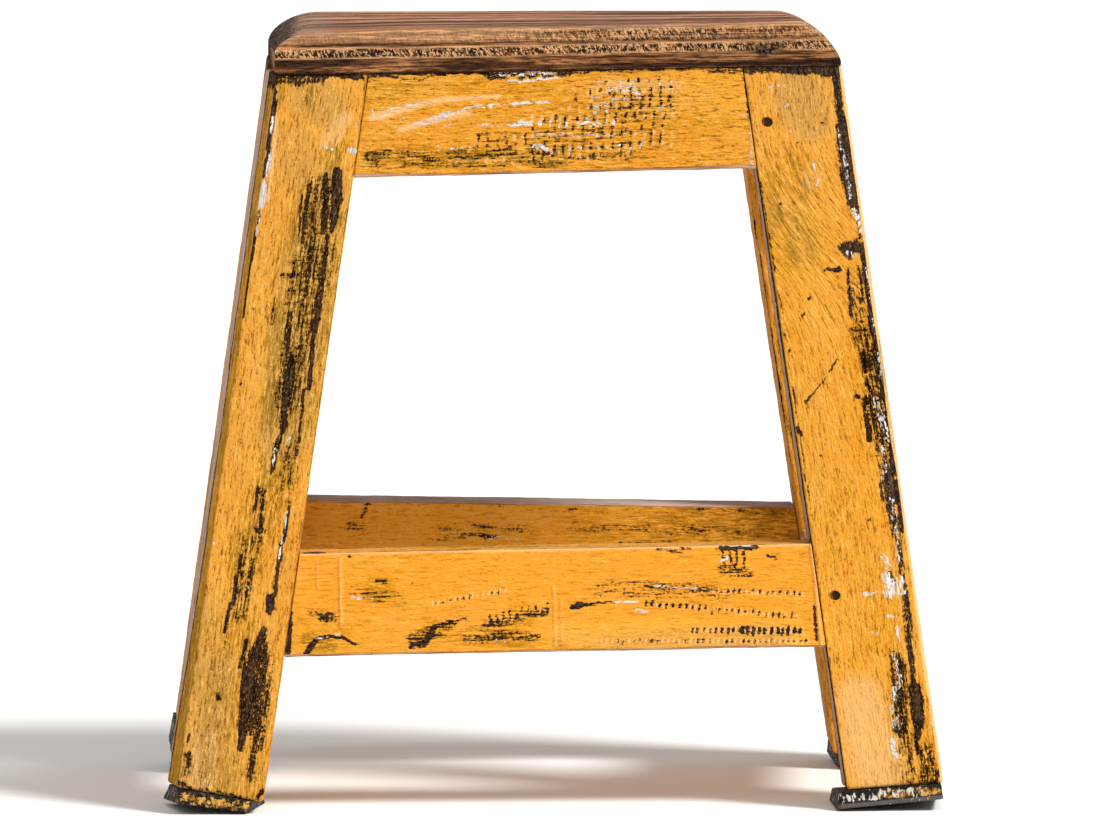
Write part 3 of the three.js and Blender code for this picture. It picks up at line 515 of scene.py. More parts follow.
WHITE = {
    "leg_front_left": [
        (0.8, [(273, 118, 3), (271.6, 135, 3)]), (0.75, [(270.6, 150, 3), (269, 168, 3.4)]), (0.9, [(267.6, 165, 4), (266.4, 176, 4)]),
        (1.3, [(263, 184, 6), (261.6, 196, 7), (260.6, 206, 6)]),
        (0.7, [(259.6, 213, 3), (256, 236, 3)]),
        (1.15, [(324, 146, 4), (333, 149, 3.6)]), (1.3, [(350, 151, 6), (353.6, 152, 6)]),
        (0.85, [(343, 122, 3), (348, 126, 3)]), (0.8, [(326.5, 123, 3)]), (0.7, [(357, 122, 3), (358, 130, 2.5)]),
        (0.62, [(287, 512, 3), (279, 560, 3)]), (0.6, [(250, 590, 5)]), (0.75, [(274, 488, 3.5)]), (0.6, [(275, 450, 5), (272, 466, 4)]),
        (0.7, [(214, 543, 3.5)]), (0.4, [(290, 440, 10)]), (0.9, [(210.6, 545, 3)]),
    ],
    "leg_front_right": [
        (0.95, [(768, 86, 3.4), (782, 86, 3)]), (0.85, [(785, 106, 3.4), (788, 105, 3)]), (0.8, [(790, 130, 3), (794, 135, 3)]),
        (1.1, [(818.5, 176, 2.6), (817, 187, 2.6)]), (0.9, [(805, 178, 2.6), (806, 184, 2.4)]),
        (0.9, [(812, 162, 2.6), (815, 170, 2.6)]), (0.9, [(820, 165, 2.6), (822, 172, 2.6)]), (0.8, [(828, 186, 3)]),
        (0.75, [(838, 130, 4), (842, 150, 4)]), (0.8, [(843, 150, 4), (847, 172, 5), (850, 200, 5)]),
        (1.2, [(854, 210, 6), (857, 218, 5)]), (0.85, [(859, 222, 4), (861, 233, 4)]),
        (0.7, [(846, 252, 6), (856, 256, 5)]), (0.6, [(866, 268, 5), (872, 300, 6)]), (0.6, [(874, 320, 5), (882, 380, 6)]),
        (0.62, [(876, 400, 8), (888, 440, 10)]), (0.75, [(883, 448, 6), (884, 476, 7)]), (0.5, [(892, 500, 8), (899, 560, 8)]),
        (0.8, [(884, 556, 7), (890, 568, 9)]),
        (1.15, [(886, 574, 9), (893, 590, 14), (900, 580, 10)]), (1.0, [(884, 594, 6), (903, 593, 7)]),
        (1.0, [(863, 594, 3.6), (876, 594, 3.6)]), (1.0, [(886, 617.4, 4), (896, 616, 4)]), (0.95, [(897.5, 626, 4), (899, 644, 4)]),
        (0.8, [(868, 633, 3.6), (880, 633.6, 3)]), (0.7, [(895, 655, 8), (900, 684, 8)]), (0.7, [(893, 690, 9), (896, 726, 10)]), (1.0, [(892, 740, 6), (896, 757, 7)]),
        (0.7, [(929, 660, 2.4), (931, 735, 2.4)]),
    ],
    "apron_front": [
        (0.9, [(489, 74, 4), (530, 73, 5), (560, 73, 4)]), (1.35, [(508, 81, 3), (530, 80.5, 3.6), (560, 78.6, 2.6)]),
        (1.2, [(458, 111.6, 3), (471, 107.6, 3.4), (493, 105, 3.4), (521, 103.6, 3.4), (549, 102.4, 3)]),
        (1.35, [(414, 125, 3.4), (425, 121.6, 5), (436, 118, 7), (446, 115, 6), (454, 113.6, 3)]),
        (1.0, [(372, 109.6, 3), (374, 113, 3)]), (0.95, [(382, 107.6, 3)]), (1.1, [(388, 109.4, 3), (398, 107.8, 3), (411, 105, 4.4), (418, 104.6, 3)]),
        (0.7, [(372, 119.5, 3), (390, 114, 3)]), (0.9, [(401, 120.6, 3.4), (404, 119, 3)]), (0.8, [(376, 131, 3)]), (0.8, [(440, 102.5, 3)]), (0.75, [(456, 98, 2.6)]),
        (0.9, [(445, 125.6, 3.4), (451, 123.6, 3)]), (1.35, [(515, 124.6, 5), (525, 123.2, 6.4), (532, 123, 5)]),
        (0.85, [(475, 126, 3.4), (514, 124.6, 3)]), (1.15, [(579, 124, 5), (604, 123.4, 5)]),
        (1.0, [(534, 135.6, 2.6), (575, 134.6, 2.4), (614, 135, 2.4)]), (1.15, [(533, 147.5, 4), (549, 148.4, 4)]),
        (1.0, [(437, 147.6, 4), (441, 147, 3.4)]), (0.9, [(448, 148.4, 3), (457, 148, 3)]), (0.9, [(462, 146.6, 2.4), (480, 145.6, 2.4)]),
        (1.0, [(661, 90, 3), (677, 90.6, 3)]), (1.0, [(729.6, 113.5, 3)]), (1.2, [(743.6, 114.7, 4)]), (0.7, [(704, 94, 3)]), (0.8, [(607, 90, 3), (612, 90, 3)]),
        # The first stroke on the next line is a painted highlight: a cream line beside the joint with the front right
        # leg.
        (0.9, [(749.6, 132, 2.4), (751.4, 165, 3)]), (0.5, [(600, 97, 30), (640, 90, 26)]),
    ] + dots(1.2, 540, 124, 615, 122, 9.3, 4.4, 3.6, 31, 0.1) + dots(1.1, 550, 152, 640, 146, 9.3, 4.4, 3.2, 32, 0.1)
    + dots(1.1, 595, 111.5, 668, 109.6, 9.3, 4, 3, 33, 0.2) + dots(1.0, 610, 85, 671, 83, 9.3, 3.2, 2.8, 34, 0.25),
    "stretcher_front": [
        (0.9, [(614, 602.2, 2.4), (640, 602.4, 2)]), (0.8, [(716, 545.5, 2), (760, 545.4, 2)]), (0.9, [(722, 561, 4), (727, 558, 4)]),
        (0.8, [(351, 599, 3), (362, 598, 3)]), (0.75, [(371, 599, 3)]), (0.75, [(373, 606, 3)]), (0.7, [(312, 640, 3), (340, 634, 2.6)]), (0.8, [(548, 549, 3)]),
        (0.9, [(652, 586.6, 2), (700, 588, 2)]), (0.6, [(636, 610, 4), (648, 612, 4)]), (0.6, [(495, 640, 4), (505, 641, 4)]),
    ],
    "stretcher_rear": [(0.75, [(450, 536, 2.4), (520, 539, 2.4)])],
}
# Raised ridges and gouges, in mm outwards.
RIDGE = {
    "leg_front_left": [(0.7, [(260, 524, 2.6), (250, 570, 2.6), (242, 606, 2.4)]), (-0.6, [(233, 706, 2.4), (222, 748, 2.4)]), (0.5, [(277, 88, 2), (275, 140, 2), (270, 190, 2)]), (0.5, [(259, 526, 6)])],
    "leg_front_right": [(0.5, [(757, 140, 1.6), (765, 190, 1.6)])],
    "apron_front": [(0.7, [(748.4, 80, 2.4), (752.4, 166, 2.6)])],
    "stretcher_front": [
        (1.1, [(340.4, 559, 2.4), (340.8, 600, 2.6), (341.4, 627, 2.4)]), (0.6, [(317, 560, 2.2), (317.6, 588, 2.2)]),
        (0.8, [(554, 586, 2.4), (556, 647, 2.4)]), (0.5, [(561, 600, 2.4), (562, 647, 2.4)]), (1.1, [(811, 546, 2.4), (815, 575, 3), (818, 610, 3), (822, 644, 3)]),
    ],
    "stretcher_rear": [(0.5, [(380, 505, 2.4), (379, 545, 2.4)])],
    "leg_rear_right": [(0.7, [(749, 200, 1.6), (754, 225, 1.8), (761, 250, 1.8), (768, 290, 1.6)]), (0.7, [(781, 380, 1.6), (787, 408, 1.8), (793, 428, 1.8), (796, 446, 1.4)])],
}


def tick_rows(p, rows_at, step, size):
    """Rows of raised ticks left by a saw: +1 on a tick. rows_at is a list of (x0, y0, x1, y1)."""
    out = np.zeros(len(p))
    for x0, y0, x1, y1 in rows_at:
        u = (p[:, 0] - x0) / (x1 - x0)
        y = y0 + (y1 - y0) * u
        on = smooth(-0.03, 0.03, u) * smooth(1.03, 0.97, u)
        lane = np.exp(-(((p[:, 1] - y) / size) ** 2))
        out += on * lane * np.sin(2 * math.pi * (p[:, 0] + 0.25 * (p[:, 1] - y)) / step)
    return out


TICKS = {
    "stretcher_front": ([(692, 630.5, 806, 631), (600, 641, 812, 641.6), (646, 603.5, 800, 616), (700, 591, 806, 594), (430, 604, 508, 590), (484, 624, 548, 610)], 5.6, 2.4, 0.5),
    "apron_front": ([(580, 92, 680, 90), (560, 108, 680, 105), (530, 118, 680, 115), (500, 136, 680, 133), (520, 150, 680, 143), (450, 160, 600, 158)], 9.3, 2.8, 0.36),
}


# How hard the marks of each piece bite: dark ones, white ones.
BITE = {"leg_front_left": (0.93, 0.85), "leg_front_right": (0.9, 0.58), "apron_front": (0.55, 0.54), "stretcher_front": (0.78, 0.8), "stretcher_rear": (0.62, 0.7)}


# ------------------------------------------------------------- surface relief
def hand_worn(piece, seed, wave=0.28, brush=0.10, grain_axis="s"):
    """Waviness, tool marks and brush relief in mm, outwards, from coordinates along and across."""
    g = np.stack([piece["s"], piece["a"], piece["b"]], 1)
    soft = fbm(g * (0.012, 0.03, 0.03), 2, seed) * wave
    lumps = fbm(g * (0.05, 0.12, 0.12), 2, seed + 11) * wave * 0.35
    fibre = fbm(g * (0.05, 0.26, 0.26), 2, seed + 23) * brush * 1.8
    fine = noise(g * (0.22, 0.42, 0.42), seed + 31) * brush * 1.2
    flat = np.where(piece["k"] >= 0, 1.0, 0.0)
    return (soft + lumps + fibre + fine) * flat


def random_wear(piece, seed, amount=1.0, sides=(0, 1, 2, 3)):
    """Wear on faces that the photograph doesn't show: streaks along the grain, ends and arrises."""
    rng = np.random.default_rng(seed)
    dark, white = np.zeros(len(piece["s"])), np.zeros(len(piece["s"]))
    L = piece["length"]
    for side in sides:
        on = piece["k"] == side
        wide = (piece["a0"], piece["b0"])[side % 2]
        q = np.stack([piece["s"][on], piece["t"][on]], 1)
        lots = max(3, int(L * wide / 2600 * amount))
        ds, ws = [], []
        for _ in range(lots):
            s0, t0 = rng.random() * L, rng.random() * wide
            if rng.random() < 0.45:
                t0 = rng.choice([2.0, wide - 2.0])
            long = 8 + rng.random() ** 2 * 80
            w = 2.0 + rng.random() ** 2 * 7
            ds.append((0.5 + 0.55 * rng.random(), [(s0, t0, w * 0.5), (s0 + long / 2, t0 + rng.normal() * 1.2, w), (s0 + long, t0 + rng.normal() * 2, w * 0.5)]))
            if rng.random() < 0.5:
                ws.append((0.45 + 0.4 * rng.random(), [(s0 + rng.normal() * 8, t0 + rng.normal() * 3, w * 0.6), (s0 + long * 0.6, t0 + rng.normal() * 3, w * 0.5)]))
        dark[on] = np.maximum(dark[on], brushed(q, ds))
        white[on] = np.maximum(white[on], brushed(q, ws))
    return dark, white


def edges(piece, strengths, seed, reach=2.6):
    """How far each place near an arris is rubbed to bare wood, 0 to 1; strengths are per corner."""
    k, t = piece["k"], piece["t"]
    wide = np.where(k % 2 == 0, piece["a0"], piece["b0"])
    s4 = np.array(strengths, float)
    kk = np.clip(k, 0, 3)
    start, end = s4[kk], s4[(kk + 1) % 4]
    d1, d2 = t, wide - t
    wob = 1 + 0.45 * noise(np.stack([piece["s"] * 0.045, kk * 3.7 + seed, kk * 0.0], 1), seed)
    z = piece["zone"]
    hit = np.maximum(start * smooth(z * 0.55 + reach * 0.45 * wob, z * 0.15, d1), end * smooth(z * 0.55 + reach * 0.45 * wob, z * 0.15, d2))
    ends = np.minimum(piece["s"], piece["length"] - piece["s"])
    return np.where(k >= 0, hit, 0.0), ends


# -------------------------------------------------------------- material kit
def node(nt, kind, inputs=None, **props):
    n = nt.nodes.new(kind)
    for key, value in props.items():
        setattr(n, key, value)
    for key, value in (inputs or {}).items():
        if isinstance(value, bpy.types.NodeSocket):
            nt.links.new(value, n.inputs[key])
        else:
            n.inputs[key].default_value = value
    return n


def maths(nt, op, a, b=0.0, c=0.0, clamp=False):
    return node(nt, "ShaderNodeMath", {0: a, 1: b, 2: c}, operation=op, use_clamp=clamp).outputs[0]


def mul(nt, *xs):
    out = xs[0]
    for x in xs[1:]:
        out = maths(nt, "MULTIPLY", out, x)
    return out


def add(nt, *xs):
    out = xs[0]
    for x in xs[1:]:
        out = maths(nt, "ADD", out, x)
    return out


def span(nt, x, lo, hi, a=0.0, b=1.0, soft=True):
    n = node(nt, "ShaderNodeMapRange", {"Value": x, "From Min": lo, "From Max": hi, "To Min": a, "To Max": b}, interpolation_type="SMOOTHSTEP" if soft else "LINEAR")
    return n.outputs["Result"]


def blend(nt, fac, a, b, how="MIX"):
    n = node(nt, "ShaderNodeMix", data_type="RGBA", blend_type=how)
    for i, value in ((0, fac), (6, a), (7, b)):
        if isinstance(value, bpy.types.NodeSocket):
            nt.links.new(value, n.inputs[i])
        elif i == 0:
            n.inputs[0].default_value = value
        else:
            n.inputs[i].default_value = (*value, 1.0)
    return n.outputs[2]


def scaled(nt, vector, by, shift=(0, 0, 0)):
    n = node(nt, "ShaderNodeVectorMath", operation="MULTIPLY_ADD")
    nt.links.new(vector, n.inputs[0])
    n.inputs[1].default_value, n.inputs[2].default_value = by, shift
    return n.outputs[0]


def cloud(nt, vector, by, shift=(0, 0, 0), detail=3.0, rough=0.55, warp=0.0, gain=1.0):
    """Noise over a scaled vector, spread about 0.5 by gain."""
    n = node(nt, "ShaderNodeTexNoise", {"Vector": scaled(nt, vector, by, shift), "Scale": 1.0, "Detail": detail, "Roughness": rough, "Distortion": warp})
    out = n.outputs["Fac"]
    if gain != 1.0:
        out = maths(nt, "MULTIPLY_ADD", out, gain, 0.5 - 0.5 * gain)
    return out


def named(nt, name, how="Vector"):
    return node(nt, "ShaderNodeAttribute", attribute_name=name, attribute_type="GEOMETRY").outputs[how]


def split(nt, vector):
    n = node(nt, "ShaderNodeSeparateXYZ", {0: vector})
    return n.outputs[0], n.outputs[1], n.outputs[2]


def ramp(nt, x, stops):
    n = node(nt, "ShaderNodeValToRGB", {"Fac": x})
    r = n.color_ramp
    while len(r.elements) < len(stops):
        r.elements.new(0.5)
    for el, (at, col) in zip(r.elements, stops):
        el.position = at
        el.color = (*col, 1.0)
    return n.outputs["Color"]


def material(name):
    m = bpy.data.materials.new(name)
    m.use_nodes = True
    nt = m.node_tree
    nt.nodes.clear()
    out = node(nt, "ShaderNodeOutputMaterial")
    bsdf = node(nt, "ShaderNodeBsdfPrincipled")
    nt.links.new(bsdf.outputs[0], out.inputs["Surface"])
    return m, nt, bsdf


def rgb(r, g, b):
    """Linear colour from 0-255 display values."""
    def lin(x):
        x /= 255.0
        return x / 12.92 if x <= 0.04045 else ((x + 0.055) / 1.055) ** 2.4
    return (lin(r), lin(g), lin(b))


def bump(nt, bsdf, height, distance=0.001, strength=1.0):
    n = node(nt, "ShaderNodeBump", {"Height": height, "Distance": distance, "Strength": strength})
    nt.links.new(n.outputs["Normal"], bsdf.inputs["Normal"])


def painted_finish():
    """Brushed yellow paint over a white undercoat over dark stained wood, rubbed through."""
    m, nt, bsdf = material("distressed_paint")
    g = named(nt, "grain")
    br = named(nt, "brush")
    dark, white, edge = split(nt, named(nt, "wear"))
    tint, dirt, pale = split(nt, named(nt, "tone"))
    relief_and_shading_gain = named(nt, "coat", "Fac")
    hair = cloud(nt, br, (0.12, 0.7, 0.7), (4, 4, 4), detail=4, rough=0.6, gain=2.4)
    line = cloud(nt, g, (0.05, 0.8, 0.8), detail=4, rough=0.64, gain=2.5)
    speck = cloud(nt, g, (0.5, 0.95, 0.95), (7, 3, 1), detail=4, rough=0.66, gain=2.5)
    ladder = cloud(nt, g, (0.72, 0.3, 0.3), (3, 9, 4), detail=3, rough=0.62, gain=2.4)
    n = add(nt, mul(nt, line, 0.3), mul(nt, speck, 0.32), mul(nt, ladder, 0.18), mul(nt, maths(nt, "SUBTRACT", 1.0, hair), 0.2))
    d = add(nt, dark, mul(nt, add(nt, n, -0.5), 2.2))
    m_dark = span(nt, d, 0.47, 0.54)
    m_near = span(nt, d, 0.1, 0.5)
    n2 = add(nt, mul(nt, cloud(nt, g, (0.18, 0.8, 0.8), (31, 5, 8), detail=4, rough=0.66, gain=2.5), 0.55), mul(nt, cloud(nt, g, (0.5, 0.7, 0.7), (1, 55, 8), detail=3, rough=0.6, gain=2.4), 0.45))
    w = add(nt, white, mul(nt, add(nt, n2, -0.5), 1.9))
    m_white = span(nt, w, 0.47, 0.54)
    w_near = span(nt, w, 0.2, 0.5)
    n3 = add(nt, mul(nt, cloud(nt, g, (0.07, 0.4, 0.4), (13, 15, 28), detail=4, rough=0.6, gain=2.3), 0.7), mul(nt, speck, 0.3))
    e = add(nt, edge, mul(nt, add(nt, n3, -0.5), 0.8))
    m_edge = span(nt, e, 0.44, 0.55)

    # brush relief, shared by the colour and the bump; in the colour its low parts are painted shade and its high parts
    # painted highlight
    big = cloud(nt, g, (0.011, 0.03, 0.03), (2, 2, 2), detail=3, gain=1.9)
    mid = cloud(nt, g, (0.035, 0.1, 0.1), (9, 1, 5), detail=3, rough=0.6, gain=2.0)
    fine = cloud(nt, br, (0.4, 1.3, 1.3), (14, 4, 4), detail=3, rough=0.6, gain=2.3)
    grit = cloud(nt, g, (0.8, 1.0, 1.0), (4, 24, 4), detail=3, rough=0.6, gain=2.2)
    relief = add(nt, mul(nt, hair, 0.5), mul(nt, fine, 0.3), mul(nt, grit, 0.2))

    col = blend(nt, span(nt, big, 0.2, 0.85), rgb(236, 158, 40), rgb(236, 164, 52))
    col = blend(nt, mul(nt, span(nt, mid, 0.4, 0.9), 0.3), col, rgb(236, 174, 78))
    col = blend(nt, mul(nt, span(nt, tint, 0.0, 1.0), 0.42), col, rgb(224, 138, 26))
    col = blend(nt, mul(nt, span(nt, tint, 0.0, -1.0), 0.7), col, rgb(198, 150, 74))
    # painted shade in the low parts of the relief, painted highlight on its high parts
    col = blend(nt, mul(nt, span(nt, relief, 0.46, 0.24), relief_and_shading_gain, 0.85), col, rgb(146, 88, 14))
    col = blend(nt, mul(nt, span(nt, relief, 0.56, 0.8), relief_and_shading_gain, 0.7), col, rgb(250, 200, 104))
    col = blend(nt, mul(nt, span(nt, pale, 0.0, 1.0), 0.8), col, rgb(250, 200, 140))
    # grime in the low parts of the relief; between saw ticks it stands for painted shade
    grime = mul(nt, span(nt, dirt, 0.0, 1.0), span(nt, add(nt, relief, mul(nt, mid, 0.4)), 0.85, 0.55))
    col = blend(nt, mul(nt, grime, 0.75), col, rgb(120, 98, 30))
    spot = span(nt, add(nt, grit, mul(nt, speck, 0.35), mul(nt, dirt, 0.12)), 1.08, 1.2)
    col = blend(nt, mul(nt, spot, 0.75), col, rgb(92, 50, 16))
    col = blend(nt, mul(nt, m_near, 0.55), col, rgb(148, 104, 30))
    col = blend(nt, mul(nt, w_near, 0.45), col, rgb(240, 184, 124))

    # wood under it
    fib = cloud(nt, g, (0.03, 0.8, 0.8), (5, 8, 2), detail=4, rough=0.7, gain=2.3)
    blot = cloud(nt, g, (0.2, 0.45, 0.45), (5, 8, 92), detail=3, rough=0.6, gain=2.2)
    wood = blend(nt, span(nt, fib, 0.15, 0.9), rgb(9, 6, 4), rgb(60, 38, 22))
    wood = blend(nt, mul(nt, span(nt, blot, 0.45, 0.75), 0.9), wood, rgb(10, 8, 7))
    wood = blend(nt, mul(nt, span(nt, d, 0.8, 1.25), span(nt, fib, 0.1, 0.5)), wood, blend(nt, blot, rgb(88, 66, 50), rgb(56, 38, 28)))
    wood = blend(nt, mul(nt, span(nt, speck, 0.68, 0.85), 0.55), wood, rgb(138, 104, 58))
    col = blend(nt, m_dark, col, wood)
    chalk = blend(nt, span(nt, fib, 0.2, 0.8), rgb(188, 182, 178), rgb(240, 236, 232))
    col = blend(nt, m_white, col, chalk)
    tan = blend(nt, span(nt, fib, 0.15, 0.85), rgb(146, 94, 62), rgb(222, 176, 146))
    lilac = blend(nt, span(nt, fib, 0.15, 0.85), rgb(150, 124, 112), rgb(206, 184, 174))
    bare = blend(nt, span(nt, pale, 0.2, 0.8), tan, lilac)
    rim = mul(nt, span(nt, e, 0.3, 0.44), maths(nt, "SUBTRACT", 1.0, span(nt, e, 0.44, 0.56)))
    col = blend(nt, mul(nt, rim, 0.7), col, rgb(84, 48, 24))
    col = blend(nt, m_edge, col, bare)
    nt.links.new(col, bsdf.inputs["Base Color"])

    off = maths(nt, "MAXIMUM", m_dark, m_edge)
    nt.links.new(add(nt, 0.55, mul(nt, off, 0.2), mul(nt, hair, 0.12)), bsdf.inputs["Roughness"])
    nt.links.new(mul(nt, span(nt, dirt, 0.4, 0.1), 0.12), bsdf.inputs["Specular IOR Level"])

    # relief, mm
    coat = maths(nt, "SUBTRACT", 1.0, off)
    h = add(nt, mul(nt, coat, 0.22), mul(nt, m_white, 0.08), mul(nt, relief, mul(nt, coat, relief_and_shading_gain, 1.5)), mul(nt, blot, mul(nt, off, 0.3)), mul(nt, fib, mul(nt, off, 0.16)))
    bump(nt, bsdf, h)
    return m


def seat_finish():
    """Brown stained plank: grain bands, pores, and rows of saw-tooth marks on the edges."""
    m, nt, bsdf = material("stained_plank")
    g = named(nt, "grain")
    teeth, shade, light = split(nt, named(nt, "wear"))
    top, black_and_shade, grey = split(nt, named(nt, "tone"))
    x, y, z = split(nt, g)
    band = cloud(nt, g, (0.0013, 0.03, 0.03), (1, 6, 3), detail=4, rough=0.74, gain=2.8)
    band2 = cloud(nt, g, (0.0022, 0.075, 0.06), (11, 6, 3), detail=4, rough=0.72, gain=2.7)
    streak = cloud(nt, g, (0.014, 0.2, 0.5), (5, 2, 2), detail=4, rough=0.7, gain=2.6)
    fib = cloud(nt, g, (0.1, 0.8, 1.1), (5, 8, 2), detail=4, rough=0.7, gain=2.6)
    patch = cloud(nt, g, (0.012, 0.08, 0.08), (8, 1, 2), detail=3, gain=2.0)
    front = blend(nt, span(nt, fib, 0.22, 0.8), rgb(108, 58, 26), rgb(240, 168, 104))
    front = blend(nt, mul(nt, span(nt, streak, 0.46, 0.7), 0.8), front, rgb(74, 32, 13))
    front = blend(nt, mul(nt, span(nt, streak, 0.38, 0.15), 0.5), front, rgb(246, 184, 128))
    above = blend(nt, span(nt, fib, 0.2, 0.8), rgb(126, 76, 52), rgb(208, 150, 114))
    above = blend(nt, mul(nt, span(nt, band, 0.5, 0.64), 0.8), above, rgb(70, 30, 18))
    above = blend(nt, mul(nt, span(nt, band2, 0.54, 0.68), 0.75), above, rgb(80, 36, 22))
    above = blend(nt, mul(nt, span(nt, band2, 0.44, 0.3), 0.6), above, rgb(228, 180, 148))
    col = blend(nt, top, front, above)
    col = blend(nt, mul(nt, span(nt, patch, 0.5, 0.9), 0.3), col, rgb(112, 56, 26))
    # saw teeth: short slanted chips, dark between light; the light on the chips is partly painted highlight and the
    # near-black between them partly painted shade
    lean = node(nt, "ShaderNodeCombineXYZ", {0: add(nt, x, mul(nt, z, 0.35)), 1: y, 2: z}).outputs[0]
    chip = cloud(nt, lean, (0.85, 0.4, 0.42), (3, 3, 3), detail=4, rough=0.62, warp=0.4, gain=2.8)
    nick = cloud(nt, lean, (1.5, 0.8, 1.1), (13, 3, 3), detail=3, rough=0.6, gain=2.4)
    cut = add(nt, mul(nt, chip, 0.62), mul(nt, nick, 0.38))
    on = span(nt, teeth, 0.0, 1.0, soft=False)
    deep = mul(nt, span(nt, add(nt, cut, mul(nt, teeth, -0.16)), 0.44, 0.3), span(nt, teeth, 0.0, 0.35))
    high = mul(nt, span(nt, add(nt, cut, mul(nt, teeth, 0.06)), 0.56, 0.72), span(nt, teeth, 0.0, 0.45))
    col = blend(nt, mul(nt, on, 0.22), col, rgb(112, 58, 26))
    col = blend(nt, mul(nt, deep, 0.95), col, rgb(14, 6, 3))
    col = blend(nt, mul(nt, high, 0.8), col, rgb(238, 192, 142))
    col = blend(nt, mul(nt, light, add(nt, 0.45, mul(nt, nick, 0.55))), col, rgb(240, 196, 150))
    col = blend(nt, mul(nt, shade, 0.95), col, blend(nt, span(nt, add(nt, mul(nt, fib, 0.6), mul(nt, nick, 0.4)), 0.4, 0.9), rgb(9, 4, 2), rgb(84, 40, 17)))
    scorch = cloud(nt, g, (0.55, 0.07, 0.5), (2, 5, 9), detail=4, rough=0.64, gain=2.6)
    ash = blend(nt, span(nt, add(nt, mul(nt, scorch, 0.7), mul(nt, nick, 0.3)), 0.4, 0.75), rgb(9, 7, 6), rgb(134, 112, 98))
    ash = blend(nt, span(nt, black_and_shade, 0.8, 0.97), ash, blend(nt, span(nt, scorch, 0.5, 0.9), rgb(5, 4, 4), rgb(84, 74, 68)))
    col = blend(nt, mul(nt, black_and_shade, 0.97), col, ash)
    col = blend(nt, mul(nt, grey, span(nt, cut, 0.35, 0.75)), col, rgb(150, 132, 120))
    nt.links.new(col, bsdf.inputs["Base Color"])
    nt.links.new(add(nt, 0.58, mul(nt, fib, 0.14)), bsdf.inputs["Roughness"])
    nt.links.new(mul(nt, span(nt, black_and_shade, 0.5, 0.0), 0.1), bsdf.inputs["Specular IOR Level"])
    h = add(nt, mul(nt, fib, 0.5), mul(nt, streak, -0.3), mul(nt, cut, add(nt, 0.3, mul(nt, teeth, 1.1))), mul(nt, band, -0.2))
    bump(nt, bsdf, h)
    return m


def pad_finish():
    """Dull black block with smears of yellow and white paint."""
    m, nt, bsdf = material("pad_block")
    g = named(nt, "grain")
    gold, white, rim = split(nt, named(nt, "wear"))
    n = add(nt, mul(nt, cloud(nt, g, (0.28, 0.25, 0.6), detail=4, rough=0.65, gain=2.4), 0.6), mul(nt, cloud(nt, g, (0.6, 0.6, 0.6), (4, 9, 3), detail=3, gain=2.2), 0.4))
    n2 = cloud(nt, g, (0.5, 0.5, 0.2), (24, 9, 3), detail=4, rough=0.65, gain=2.5)
    base = blend(nt, span(nt, n, 0.2, 0.85), rgb(9, 7, 7), rgb(54, 48, 42))
    base = blend(nt, mul(nt, span(nt, n2, 0.62, 0.85), 0.4), base, rgb(118, 110, 102))
    # the worn lower rim is painted light grey, which also stands for its sheen
    base = blend(nt, mul(nt, span(nt, rim, 0.0, 1.0), 0.85), base, rgb(96, 90, 88))
    g_on = span(nt, add(nt, gold, mul(nt, add(nt, n, -0.5), 1.7)), 0.46, 0.56)
    w_on = span(nt, add(nt, white, mul(nt, add(nt, n2, -0.5), 1.5)), 0.48, 0.56)
    paint = blend(nt, span(nt, n2, 0.25, 0.75), rgb(110, 74, 24), rgb(216, 164, 78))
    col = blend(nt, g_on, base, paint)
    col = blend(nt, w_on, col, rgb(214, 206, 198))
    nt.links.new(col, bsdf.inputs["Base Color"])
    nt.links.new(add(nt, 0.42, mul(nt, n2, 0.2)), bsdf.inputs["Roughness"])
    bsdf.inputs["Specular IOR Level"].default_value = 0.1
    bump(nt, bsdf, add(nt, mul(nt, n, 0.7), mul(nt, g_on, 0.2), mul(nt, w_on, 0.16), mul(nt, n2, 0.4)))
    return m


def plain_wood(name, deep, light, scale=1.0, rough_at=0.62):
    """End grain and fibre for the small round wooden pieces."""
    m, nt, bsdf = material(name)
    at = node(nt, "ShaderNodeTexCoord").outputs["Object"]
    fib = cloud(nt, at, (900 * scale, 900 * scale, 900 * scale), detail=4, rough=0.65, gain=2.0)
    ring = cloud(nt, at, (260 * scale, 260 * scale, 260 * scale), (3, 7, 1), detail=3, gain=2.0)
    col = blend(nt, span(nt, fib, 0.1, 0.9), deep, light)
    col = blend(nt, mul(nt, span(nt, ring, 0.5, 0.9), 0.5), col, tuple(0.4 * c for c in deep))
    nt.links.new(col, bsdf.inputs["Base Color"])
    nt.links.new(add(nt, rough_at, mul(nt, fib, 0.16)), bsdf.inputs["Roughness"])
    bsdf.inputs["Specular IOR Level"].default_value = 0.15
    bump(nt, bsdf, add(nt, mul(nt, fib, 0.18), mul(nt, ring, 0.12)))
    return m


def nail_finish():
    m, nt, bsdf = material("dull_nail_steel")
    at = node(nt, "ShaderNodeTexCoord").outputs["Object"]
    n = cloud(nt, at, (700, 700, 700), detail=4, rough=0.6, gain=2.0)
    rust = span(nt, cloud(nt, at, (300, 300, 300), (5, 1, 4), detail=4, rough=0.65, gain=2.1), 0.55, 0.8)
    col = blend(nt, span(nt, n, 0.1, 0.9), rgb(120, 118, 114), rgb(172, 168, 162))
    col = blend(nt, mul(nt, rust, 0.7), col, rgb(104, 62, 34))
    nt.links.new(col, bsdf.inputs["Base Color"])
    bsdf.inputs["Metallic"].default_value = 1.0
    nt.links.new(add(nt, 0.36, mul(nt, rust, 0.34), mul(nt, n, 0.1)), bsdf.inputs["Roughness"])
    bump(nt, bsdf, add(nt, mul(nt, n, 0.08), mul(nt, rust, 0.1)))
    return m


PAINT = painted_finish()
PLANK = seat_finish()
PADM = pad_finish()
